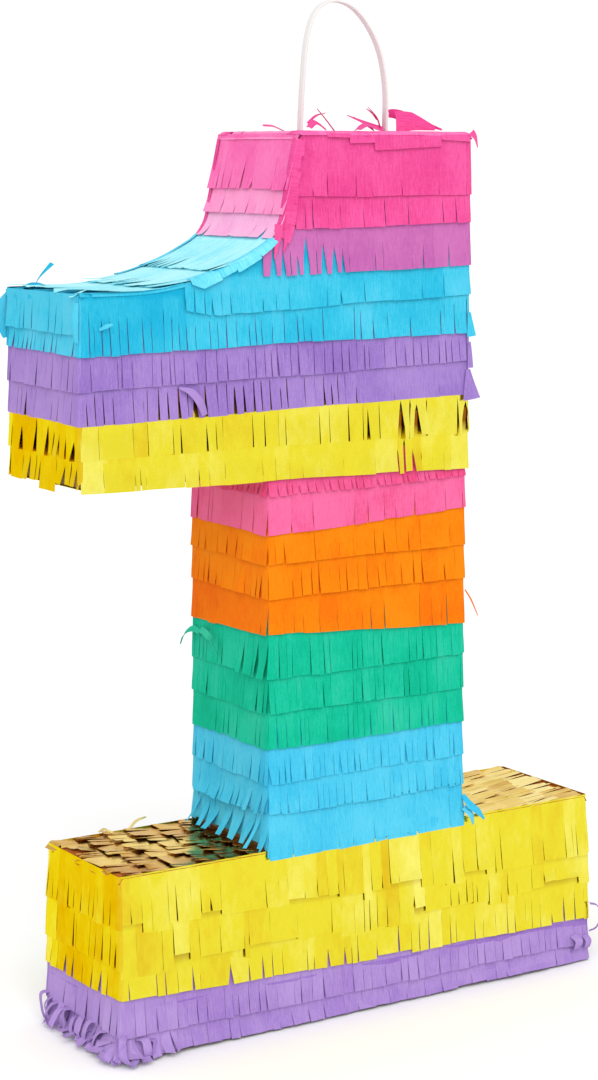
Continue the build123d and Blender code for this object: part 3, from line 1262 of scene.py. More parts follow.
@dataclass(frozen=True)
class BoxPlan:
    """The cardboard box's own sizes in millimetres, read from the CAD nodes."""

    stem_left: float
    stem_right: float
    flag_left: float
    flag_bottom: float
    base_left: float
    base_right: float
    base_top: float
    head_top: float
    half: float
    window: tuple[float, float, float, float]

    @classmethod
    def read(cls) -> "BoxPlan":
        """Reads the sizes from the frame.

        Returns:
            The plan.
        """
        front_low, front_high = node_box("front_panel")
        flap_low, flap_high = node_box("fill_flap")
        return cls(
            stem_left=node_box("stem_left_panel")[0][0],
            stem_right=node_box("right_side_panel")[1][0],
            flag_left=front_low[0],
            flag_bottom=node_box("flag_underside_panel")[0][2],
            base_left=node_box("base_left_end_panel")[0][0],
            base_right=front_high[0],
            base_top=node_box("base_top_left_panel")[1][2],
            head_top=front_high[2],
            half=-front_low[1],
            window=(flap_low[0], flap_high[0], flap_low[2], flap_high[2]),
        )


def level(value: float) -> Height:
    """Gives an edge that is straight."""
    return lambda s: np.full(np.shape(s), value, float)


def slanted(start: float, end: float, first: float, last: float) -> Height:
    """Gives an edge that slants from one value at the start to another at the end."""
    return lambda s: np.interp(s, (start, end), (first, last))


@dataclass
class Dresser:
    """Places finished pieces: the finish, the body each rides on, and what it stands for."""

    finishes: Finishes
    coat: Coat

    def sheet(
        self,
        name: str,
        strips: Sequence["Strip | Ribbon"],
        finish: Finish,
        slot: Slot,
        flat: tuple[float, float],
        area: float | None = None,
        replaces: str | None = None,
        body: str = "root",
        rests_on: str = "front_panel",
        thickness: float = PAPER,
    ) -> bpy.types.Object:
        """Args:
            name: The piece's name.
            strips: The strips and loose fingers it is made of.
            finish: Its finish.
            slot: The record's slot; not used.
            flat: The size it was cut to, in millimetres; not used.
            area: Its flat area in square millimetres, where it isn't a rectangle; not used.
            replaces: The CAD node it stands for.
            body: The body it rides on.
            rests_on: The node it is glued to; not used.
            thickness: The paper's thickness in millimetres.

        Returns:
            The new piece.
        """
        mesh = PaperMesh(thickness, self.coat)
        for strip in strips:
            strip.fill(mesh)
        piece = mesh.build(name, self.finishes.get(finish))
        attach(piece, body)
        if replaces:
            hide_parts(replaces)
        LOG.info("%s: %d faces", name, len(piece.data.polygons))
        return piece


# ---------------------------------------------------------------- sub-assemblies


@dataclass(frozen=True)
class Row:
    """One row of fringe round the box.

    Attributes:
        node: The CAD node it stands for.
        finish: The paper.
        slot: The record's slot.
        cut: How it is cut.
        edge: How much higher its lower edge is than the node's, as places along s and heights.
        zones: Stretches cut another way.
        tuck: How far its top is hidden under the row above, as places along s and heights.
        spans: The stretches it covers, where it doesn't go all round.
        rest: The distance of its glued part and of its foot from the board.
        under: Extra strips under it, as how much higher each one's lower edge is.
        loose: Fingers that bend away from the rest.
    """

    node: str
    finish: Finish
    slot: Slot
    cut: Cut
    edge: Sequence[tuple[float, float]] = ((0.0, 0.0),)
    zones: Sequence[tuple[float, float, Cut]] = ()
    tuck: Sequence[tuple[float, float]] = ((0.0, 12.5),)
    spans: Sequence[tuple[float, float]] = ()
    rest: tuple[float, float] = (0.4, 1.0)
    under: Sequence[float] = ()
    loose: Sequence[Ribbon] = ()


CLOSED = Cut(
    width=8.0, spread=2.6, wide_share=0.45, wide=17.0, start=0.74, start_spread=0.12, vee=0.25, lift=0.3,
)
PANELS = Cut(width=7.0, spread=2.2, wide_share=0.40, wide=14.0, start=0.12, start_spread=0.15, vee=0.25)
EVEN = Cut(
    width=4.8, spread=1.0, wide_share=0.10, wide=9.0, start=0.25, start_spread=0.12, vee=0.3, lift=0.5,
)
FINE = Cut(
    width=3.4, spread=0.8, wide_share=0.12, wide=8.0, start=0.14, start_spread=0.10, vee=0.12, lift=0.35,
)
WHOLE = Cut(
    wide_share=1.0, wide=12.0, spread=0.5, start=0.99, start_spread=0.0, gap=0.0, vee=0.0, lift=0.0,
    ragged=0.0,
)
LOOSE = Cut(
    width=4.6, spread=1.2, wide_share=0.05, wide=8.0, start=0.2, vee=1.1, lift=1.3, lean=2.5, twist=12.0,
)


@dataclass
class RowStack:
    """Rows of fringe wrapped round four walls, from the top down.

    Attributes:
        dresser: Places the finished pieces.
        wall: The four walls.
        rows: The rows, from the top down.
        start: The upper edge of the first row's paper.
        seed: The first row's seed.
        roof: The height that the board reaches at each X on the front, or None where the walls are level.
        opening: The part of the back that the filling flap covers, as left, right, low and high.
        ledge: The height at which the left wall ends, or None where it doesn't.
    """

    dresser: Dresser
    wall: Wall
    rows: Sequence[Row]
    start: float
    seed: int = 100
    roof: Outline | None = None
    opening: tuple[float, float, float, float] | None = None
    ledge: float | None = None

    def build(self) -> None:
        """Builds every row."""
        above = level(-self.start)
        for number, row in enumerate(self.rows):
            above = self.build_row(row, above, number)

    def lower_edge(self, row: Row, seed: int) -> Height:
        """Gives a row's lower edge, which isn't quite level.

        Args:
            row: The row.
            seed: The number that its wave comes from.

        Returns:
            The edge as q for each s.
        """
        low = float(node_box(row.node)[0][2])
        phase = np.random.default_rng(seed).uniform(0.0, 6.28, 2)
        places, heights = zip(*row.edge)
        around = self.wall.around

        def edge(s: Array) -> Array:
            """Gives the edge as q at each s."""
            shift = np.interp(s, places, heights, period=around)
            turn = np.asarray(s) / around * 2.0 * math.pi
            wave = 0.3 * np.sin(3 * turn + phase[0]) + 0.15 * np.sin(8 * turn + phase[1])
            return -(low + shift + wave)

        return edge

    def build_row(self, row: Row, above: Height, number: int) -> Height:
        """Builds one row and the layers under it.

        Args:
            row: The row.
            above: The lower edge of the row above, as q.
            number: The row's place in the stack.

        Returns:
            This row's lower edge, as q.
        """
        seed = self.seed + 10 * number
        top = above if number == 0 and self.ledge is None else self.tucked(above, row)
        foot = self.lower_edge(row, seed)
        low, high = (float(v[2]) for v in node_box(row.node))
        spans = row.spans or (self.open_span(low),)
        for layer, rise in enumerate([*row.under, 0.0]):
            strips = []
            for start, end in spans:
                strips.append(
                    Strip(
                        lay=self.wall,
                        start=start,
                        end=end,
                        top=self.upper_edge(top),
                        shown=above,
                        foot=self.raised(foot, rise),
                        cut=row.cut,
                        zones=row.zones if layer == len(row.under) else (),
                        rest=(row.rest[0] + 0.2 * layer, row.rest[1] + 0.3 * layer),
                        closed=end - start > self.wall.around - 0.1,
                        seed=seed + layer,
                        gaps=self.back_gap(low, high),
                    )
                )
            last = layer == len(row.under)
            name = row.node if last else f"{row.node}_under_{layer + 1}"
            flat, area = self.flat_size(strips)
            shapes = [*strips, *row.loose] if last else strips
            self.dresser.sheet(
                name + "_paper", shapes, row.finish, row.slot, flat, area, row.node if last else None
            )
        return foot

    def tucked(self, above: Height, row: Row) -> Height:
        """Gives the upper edge of a row's paper, hidden under the row above.

        Args:
            above: The lower edge of the row above, as q.
            row: The row.

        Returns:
            The upper edge, as q.
        """
        places, heights = zip(*row.tuck)
        return lambda s: above(s) - np.interp(s, places, heights, period=self.wall.around)

    @staticmethod
    def raised(edge: Height, rise: float) -> Height:
        """Gives an edge that is higher by some millimetres."""
        return lambda s: edge(s) - rise

    def open_span(self, low: float) -> tuple[float, float]:
        """Gives where a row starts and ends, which the curve cuts short beside the head.

        Args:
            low: The row's lowest height.

        Returns:
            Its start and its end along s.
        """
        wall = self.wall
        if self.roof is None or low < float(self.roof.line[:, 1].min()):
            return 0.0, wall.around
        x = float(self.roof.line[self.roof.line[:, 1] >= low, 0].min())
        return x - wall.x_low, wall.wide + wall.deep + (wall.x_high - x)

    def upper_edge(self, free: Height) -> Height:
        """Gives a row's upper edge, which the curve and the flap cut short.

        Args:
            free: The edge as q where nothing cuts it.

        Returns:
            The edge as q for each s.
        """
        wall = self.wall

        def edge(s: Array) -> Array:
            """Gives the edge as q at each s."""
            run = np.mod(s, wall.around)
            front = run < wall.wide + wall.deep / 2.0
            x = np.where(front, wall.x_low + run, wall.x_high - (run - wall.wide - wall.deep))
            x = np.clip(x, wall.x_low, wall.x_high)
            height = -free(s)
            limit = height.copy()
            if self.roof is not None:
                limit = np.minimum(limit, self.roof.height(x) + 0.3)
            if self.opening is not None:
                left, right, low, high = self.opening
                behind = (run > wall.wide + wall.deep) & (run < 2.0 * wall.wide + wall.deep)
                over = behind & (x > left - 0.3) & (x < right + 0.3)
                limit = np.where(over & (height > low) & (height < high), low - 0.4, limit)
            if self.ledge is not None:
                left_side = (run > 2.0 * wall.wide + wall.deep) | (run < 0.01)
                limit = np.where(left_side, np.minimum(limit, self.ledge), limit)
            return -limit

        return edge

    def back_gap(self, low: float, high: float) -> Sequence[tuple[float, float]]:
        """Gives the stretch that a row leaves free for the flap.

        Args:
            low: The row's lowest height.
            high: Its highest height.

        Returns:
            The stretch as start and end, or nothing.
        """
        if self.opening is None:
            return ()
        left, right, bottom, top = self.opening
        if (low + high) / 2.0 < bottom or (low + high) / 2.0 > top:
            return ()
        turn = self.wall.wide + self.wall.deep + self.wall.x_high
        return ((turn - right - 0.4, turn - left + 0.4),)

    @staticmethod
    def flat_size(strips: Sequence[Strip]) -> tuple[tuple[float, float], float]:
        """Gives the size some strips were cut to, and their flat area.

        Args:
            strips: The strips.

        Returns:
            Length and height, and the area, in millimetres.
        """
        long = sum(strip.end - strip.start for strip in strips)
        area = 0.0
        tall = 10.0
        for strip in strips:
            s = np.linspace(strip.start, strip.end, 400)
            height = np.maximum(strip.foot(s) - strip.top(s), 0.0)
            tall = max(tall, float(np.max(height)))
            for low, high in strip.gaps:
                height = np.where((s > low) & (s < high), 0.0, height)
            area += float(np.mean(height)) * (strip.end - strip.start)
        return (long, tall), max(area, 0.31 * long * tall)


@dataclass
class HeadFringe:
    """The nine rows on the head and the flag."""

    dresser: Dresser
    plan: BoxPlan
    roof: Outline

    def rows(self) -> Sequence[Row]:
        """Gives the rows from the top down.

        Returns:
            The rows.
        """
        split = replace(PANELS, start=0.5, width=4.2, spread=0.7, wide_share=0, vee=1.8, gap=0.5)
        even = replace(EVEN, width=4.4, start=0.1, vee=0.14, gap=0.34, lift=0.35, ragged=0.1)
        airy = replace(EVEN, width=5.2, start=0.12, vee=1, gap=0.5, lift=0.8, twist=6)
        wide = replace(PANELS, wide_share=0.8, wide=24, start=0.5, lift=0.6)
        foil = replace(
            EVEN, width=5.8, spread=2, start=0.08, vee=0.4, gap=0.16, lift=0.35, lean=0.5, patch=0.05,
        )
        foil = replace(foil, wide_share=0.25, wide=12)
        # Painted darker reflection on the foil of the flag's left end, also used by the lower row.
        end_foil = replace(
            foil, vee=2.4, gap=0.4, start=0.25, start_spread=0.2, tint=-0.42, ragged=0.5, lift=0.6,
        )
        lower = replace(foil, start=0.5, vee=0.3, wide_share=0.4, wide=14, gap=0.12)
        sparse = replace(PANELS, width=4.8, wide_share=0.2, start=0.25, start_spread=0.2, gap=0.3, vee=0.12)
        end_lower = replace(end_foil, start=0.1, stagger=1.6)
        torn = replace(foil, width=3.6, wide_share=0, vee=3, gap=0.8, start=0.15, lift=1.2, lean=4, ragged=1)
        end = (477, 544.1)
        return (
            Row("head_fringe_pink_1", PINK, Slot.PINK, CLOSED, ((111.7, 0.3), (205, 0.8))),
            Row("head_fringe_pink_2", PINK, Slot.PINK, replace(PANELS, start=0.1), ((100, -1), (205, 1.2))),
            Row(
                "head_fringe_violet", VIOLET, Slot.VIOLET, replace(PANELS, start=0.55, vee=0.2),
                ((88, -2), (205, 0.8)), zones=((80, 136, split),), spans=((91.5, 385.5),), rest=(0.5, 1.1),
                tuck=((0, 8),),
            ),
            Row(
                "head_fringe_cyan_1", CYAN, Slot.CYAN, replace(PANELS, start=0.4, gap=0.12),
                (
                    (0.01, 5.3), (51.4, 5.3), (51.5, -0.2), (68, -3.2), (84, -2.6), (205, 2),
                    (272, 1.5), (425, -2), (425.1, 5.3), (476.9, 5.3), (477, -9.5), (543.9, -9.8),
                ),
                zones=(
                    (51, 96, replace(EVEN, start=0.4)),
                    (
                        *end,
                        # Painted light: the cyan on the flag's left end is lighter.
                        replace(EVEN, start=0.4, width=4.8, wide_share=0.2, gap=0.3, vee=0.12, tint=0.35),
                    ),
                ),
                spans=((51.5, 425), (478.2, 542.8)), rest=(0.4, 1.1), loose=self.flag_fingers(),
                tuck=((0, 30), (93, 30), (99, 17.5), (378, 17.5), (384, 30)),
            ),
            Row(
                "head_fringe_cyan_2", CYAN, Slot.CYAN, sparse, ((0, -1.2), (205, 1.6)),
                zones=(
                    (-1, 51, replace(EVEN, width=4.4, start=0.42, gap=0.3, vee=0.12, tint=-0.3)),
                    (51, 90, replace(EVEN, width=4.4, start=0.15, gap=0.3, vee=0.12)),
                    # Painted light: the cyan on the flag's left end is lighter.
                    (*end, replace(EVEN, width=3.8, start=0.1, gap=0.3, tint=0.35)),
                ),
            ),
            Row(
                "head_fringe_purple_1", PURPLE, Slot.PURPLE, even, ((0, -2.5), (205, 2.5)),
                # Painted light: the purple on the flag's left end is lighter.
                zones=((*end, replace(even, tint=0.3)),),
                loose=(
                    Ribbon(
                        ((62.2, -34.8, 320), (62.4, -35.1, 314), (62.6, -35.2, 307.6)),
                        ((1, 0, 0), (1, 0, 0)), (1.4, 2.4, 3.2), 0.5,
                    ),
                ),
            ),
            Row(
                "head_fringe_purple_2", PURPLE, Slot.PURPLE, replace(even, tint=0.15), ((0, -1.5), (205, 2)),
                # Painted light: the purple on the flag's left end is lighter.
                zones=((38, 112, airy), (140, 205, wide), (*end, replace(even, tint=0.4))),
                loose=(
                    Ribbon(
                        (
                            (-94.6, -35.3, 306), (-89.6, -36.6, 304), (-85.4, -37, 299.4),
                            (-82.6, -36.4, 293.4),
                        ),
                        ((0.5, 0, 0.9), (1, 0, 0.3)), (0.8, 3.2, 4, 3), 1,
                    ),
                    Ribbon(
                        ((61.6, -34.9, 307), (62.2, -35.3, 300), (63.2, -35.7, 292.6)),
                        ((1, -0.05, 0), (1, -0.1, 0.25)), (2, 5.4, 9), 0.6,
                    ),
                ),
            ),
            Row(
                "head_fringe_gold_1", GOLD, Slot.GOLD, foil, ((0, 0),),
                zones=((*end, end_foil), (158, 176, torn), (198, 205, torn)),
            ),
            Row(
                "head_fringe_gold_2", GOLD, Slot.GOLD, lower, ((0, 2.2), (205, -0.4), (477, 3)),
                zones=((*end, end_lower), (164, 174, replace(torn, start=0.3))),
            ),
        )

    def flag_fingers(self) -> Sequence[Ribbon]:
        """Gives the loose fingers at the flag's end.

        Returns:
            The fingers.
        """
        sight, side, across = (0.54, 0.84, 0), (1, 0, 0), (-0.5, 0.86, 0)
        corner = (0.6, -0.8, 0)
        return (
            Ribbon(
                ((-131, 31, 346.6), (-127, 33, 352.6), (-120.4, 33, 359)), (sight, (0.3, 0.6, 0.7)),
                (2.2, 1.8, 2.6), 0.1,
            ),
            Ribbon(
                ((-140.6, 16, 348.4), (-136, 20, 350.2), (-131, 24, 349.4)), (across, across), (9, 9, 8),
                0,
            ),
            Ribbon(
                ((-141.6, 34.7, 346.2), (-142.9, 35.3, 341), (-143.3, 35.6, 333), (-142.4, 35.2, 326)),
                (side, side), (2.6, 8, 8.4, 4), 0.8,
            ),
            Ribbon(
                ((-143.6, -33.6, 345), (-144.6, -34.2, 337), (-144.4, -34.4, 327.8)),
                (corner, (0.3, -0.95, 0)), (2, 3.2, 2.2), 0.8,
            ),
            Ribbon(
                ((62, -34.8, 334), (62.4, -35.2, 328), (63, -35.4, 322.6)), (side, side), (1.6, 3.4, 5),
                0.6,
            ),
            Ribbon(
                ((-133.6, -35, 333), (-131, -36.6, 334.6), (-128.2, -36.8, 335.4)),
                ((0.2, 0.3, 0.9), (0.3, 0.2, 0.9)), (1.2, 2, 0.8), 1,
            ),
        )

    def build(self) -> None:
        """Builds the rows."""
        plan = self.plan
        wall = Wall(plan.flag_left, plan.stem_right, plan.half)
        stack = RowStack(
            self.dresser, wall, self.rows(), plan.head_top + 0.9, 100, self.roof, plan.window
        )
        stack.build()


@dataclass
class StemFringe:
    """The eleven rows round the stem."""

    dresser: Dresser
    plan: BoxPlan

    def rows(self) -> Sequence[Row]:
        """Gives the rows from the top down.

        Returns:
            The rows.
        """
        fine_sky = replace(FINE, width=4.2, vee=0.5, start=0.3)
        left = (283, 350.1)
        flare = replace(
            EVEN, width=4.6, wide_share=0, start=0.12, vee=1.4, gap=0.5, lift=3.6, lean=7, twist=8,
        )
        flick = replace(fine_sky, vee=1, lift=1.8, lean=3)
        dark = replace(EVEN, width=4, vee=0.8, gap=0.3, start=0.02, tint=-0.35)
        free = replace(FINE, vee=0.7, lift=1.4, lean=3, start=0.1)
        return (
            Row("stem_fringe_pink_1", CORAL, Slot.PINK, dark, ((0, -1.1), (108, 1.2))),
            Row(
                "stem_fringe_pink_2", CORAL, Slot.PINK, replace(CLOSED, start=0.4), ((0, -2.5), (108, 2)),
                # Painted light: the paper on the stem's left face is lighter.
                zones=((*left, replace(PANELS, tint=0.15)),),
            ),
            Row("stem_fringe_orange_1", ORANGE, Slot.ORANGE, replace(PANELS, start=0.25)),
            Row("stem_fringe_orange_2", ORANGE, Slot.ORANGE, replace(EVEN, start=0.25)),
            Row(
                "stem_fringe_orange_3", ORANGE, Slot.ORANGE, replace(PANELS, start=0.45, tint=-0.25),
                ((0, 2.4), (108, -3.2)),
                loose=(
                    Ribbon(
                        ((63.2, -34, 200), (66, -35, 195), (69.8, -35.2, 186.8)),
                        ((0.8, 0.5, 0), (0.9, 0.3, 0)), (1.4, 1.2, 0.5), 0.3,
                    ),
                ),
            ),
            Row(
                "stem_fringe_green_1", GREEN, Slot.GREEN, FINE, zones=((326, 350.1, free),),
                loose=(
                    Ribbon(
                        ((-46.4, 24, 180.6), (-48.4, 29, 182.6), (-50, 34, 179.4), (-50.6, 36.6, 174)),
                        ((0.3, 0.3, 0.9), (0.8, 0.5, 0.3)), (2, 3.4, 3.2, 1.2), 1,
                    ),
                    Ribbon(
                        ((-46.4, 26, 180), (-48.8, 20, 183.4), (-49.6, 11, 181), (-48.4, 5.6, 172.8)),
                        ((0.3, -0.3, 0.9), (0.3, 0.9, 0.2)), (2, 3, 3.2, 1.4), 1,
                    ),
                ),
            ),
            Row("stem_fringe_green_2", GREEN, Slot.GREEN, replace(FINE, patch=0.1)),
            Row("stem_fringe_green_3", GREEN, Slot.GREEN, replace(FINE, patch=0.1)),
            Row("stem_fringe_sky_1", SKY, Slot.SKY, fine_sky),
            Row("stem_fringe_sky_2", SKY, Slot.SKY, fine_sky, zones=((*left, flick),), under=(1.2,)),
            Row(
                "stem_fringe_sky_3", SKY, Slot.SKY, replace(PANELS, start=0.45, vee=0.3),
                (
                    (0, -4.6), (108, -4.6), (108.1, 1), (174.9, 1),
                    (175, -4.6), (282.9, -4.6), (283, 0.8), (349.9, 0.8),
                ),
                zones=((*left, flare),), rest=(0.4, 1.5), under=(1.4,),
                loose=(
                    Ribbon(
                        ((62.8, -34.6, 98), (65.4, -37, 93), (69.6, -37.4, 89.4), (74, -36.4, 84.6)),
                        ((0.3, 0.3, 0.9), (0.7, 0.3, 0.6)), (2, 4, 3.6, 1), 0.2,
                    ),
                    Ribbon(
                        ((62.6, -35.4, 92), (65.8, -37.2, 88), (67.4, -36.6, 83)),
                        ((0.9, 0.2, 0.3), (0.9, 0.4, 0)), (3, 3.6, 1.4), 0.9,
                    ),
                ),
            ),
        )

    def build(self) -> None:
        """Builds the rows."""
        plan = self.plan
        wall = Wall(plan.stem_left, plan.stem_right, plan.half)
        start = float(node_box("head_fringe_gold_2")[0][2])
        RowStack(self.dresser, wall, self.rows(), start, 400, ledge=plan.flag_bottom - 0.6).build()


@dataclass
class FootFringe:
    """The gold and lilac rows round the foot."""

    dresser: Dresser
    plan: BoxPlan

    def rows(self) -> Sequence[Row]:
        """Gives the rows from the top down.

        Returns:
            The rows.
        """
        slim = replace(
            EVEN, width=5.6, spread=1.8, vee=0.2, gap=0.12, start=0.45, start_spread=0.2, lift=0.25,
            lean=0.5, stagger=2.2, wide_share=0.2, wide=12, patch=0.07,
        )
        last = replace(slim, stagger=0.5, start=0.3, vee=0.5)
        end = (597, 664.1)
        # Painted darker reflection on the foil of the foot's left end.
        end_slim = replace(slim, vee=0.9, tint=-0.42, start=0.2, stagger=1)
        # Painted light: the curled fingers at the foot's left end and front-left corner are lighter.
        curly = replace(
            EVEN, width=5, wide_share=0, start=0.1, gap=0.4, vee=1.2, lift=3, lean=6, twist=25,
            curl=75, curl_share=0.5, ragged=1.4, tint=0.3,
        )
        plain = replace(PANELS, start=0.2, curl=45, curl_share=0.10, lift=0.8)
        return (
            Row(
                "base_fringe_gold_1", GOLD, Slot.GOLD, replace(slim, start=0.5), ((0, 4), (265, -4)),
                zones=((*end, replace(end_slim, start=0.5, start_spread=0.08)),), rest=(0.4, 0.9),
            ),
            Row(
                "base_fringe_gold_2", GOLD, Slot.GOLD, replace(slim, start=0.25, stagger=1.6),
                zones=((*end, end_slim),), rest=(0.4, 1), tuck=((0, 17),),
            ),
            Row(
                "base_fringe_gold_3", GOLD, Slot.GOLD, last, ((0, 4), (265, -2.6)),
                zones=((*end, replace(end_slim, stagger=0.4)),), rest=(0.4, 1.1), tuck=((0, 15),),
            ),
            Row(
                "base_fringe_purple_1", LILAC, Slot.PURPLE, replace(EVEN, start=0.1, vee=0.15),
                ((0, 1), (265, -1.5)),
                # Painted light: the lilac on the foot's left end is lighter.
                zones=((*end, replace(EVEN, start=0.1, vee=0.15, tint=0.3)),),
                rest=(0.4, 1.2),
            ),
            Row(
                "base_fringe_purple_2", LILAC, Slot.PURPLE, plain, ((0, 1.2), (265, 0.6)),
                zones=((-1, 24, curly), (600, 664.1, curly)), rest=(0.5, 1.2), under=(0.1,),
                loose=(
                    Ribbon(
                        (
                            (140.2, -35.6, 30.6), (143.6, -37.2, 29.2), (145.2, -38, 23.6),
                            (143.6, -37.2, 18), (140.2, -35.8, 16),
                        ),
                        ((0.5, 0.8, 0.1), (0.5, 0.8, -0.1)), (2.6, 2.4, 2.2, 2.4, 2.6), 0.6,
                    ),
                    Ribbon(
                        ((131, -34.8, 15), (132.2, -37.8, 12.4), (131, -37.2, 8.8), (130.4, -34.9, 8)),
                        ((1, 0, 0), (0.9, 0.1, 0.3)), (4.4, 4.6, 4.6, 4), 0.7,
                    ),
                    Ribbon(
                        ((138.2, -34.9, 14), (138.6, -37.2, 11.4), (138, -36.8, 8.2), (137.6, -34.9, 7.4)),
                        ((1, 0, 0.2), (1, 0, -0.2)), (3.4, 3.6, 3.4, 3), 0.5,
                    ),
                    *self.curls(),
                ),
            ),
        )

    def curls(self) -> list[Ribbon]:
        """Gives the crumpled fingers that spread over the floor round the foot's left end.

        Returns:
            The fingers.
        """
        plan = self.plan
        chance = np.random.default_rng(780)
        places = [(plan.base_left, y, 180.0) for y in np.linspace(31.0, -31.0, 15)]
        corner = (195.0, 210.0, 225.0, 240.0, 255.0)
        places += [(plan.base_left + 0.6, -plan.half + 0.6, turn) for turn in corner]
        places += [(plan.base_left + x, -plan.half, 270.0) for x in (3.0, 7.0, 12.0)]
        curls = []
        for x, y, turn in places:
            freedom = 1.0 if turn in (180.0, 270.0) else 0.4
            angle = math.radians(turn + chance.uniform(-40.0, 40.0) * freedom)
            out = np.array([math.cos(angle), math.sin(angle), 0.0])
            aside = np.array([-out[1], out[0], 0.0]) * chance.uniform(-2.4, 2.4)
            reach, rise = chance.uniform(3.6, 6.4), chance.uniform(0.0, 5.0)
            high = chance.uniform(8.0, 15.0)
            steps = (
                (-0.4, high), (0.6 * reach, high - chance.uniform(0.0, 3.0)), (reach, 0.55 * high),
                (0.7 * reach, 2.4), (0.2 * reach, 1.8 + rise),
            )
            line = []
            for number, (far, tall) in enumerate(steps):
                jolt = chance.uniform(-0.9, 0.9, 3) if number else np.zeros(3)
                spot = np.array([x, y, tall]) + out * (1.2 + far) + aside * number + jolt
                line.append((spot[0], spot[1], max(spot[2], 2.6)))
            tilt = (-out[1], out[0], chance.uniform(-1.6, 1.6))
            wide = chance.uniform(2.4, 4.2)
            widths = (wide, wide, 1.05 * wide, wide, 0.6 * wide)
            curls.append(Ribbon(line, ((-out[1], out[0], 0.0), tilt), widths, chance.uniform(0.45, 1.0)))
        return curls

    def build(self) -> None:
        """Builds the rows."""
        plan = self.plan
        wall = Wall(plan.base_left, plan.base_right, plan.half)
        RowStack(self.dresser, wall, self.rows(), plan.base_top + 1.2, 700).build()


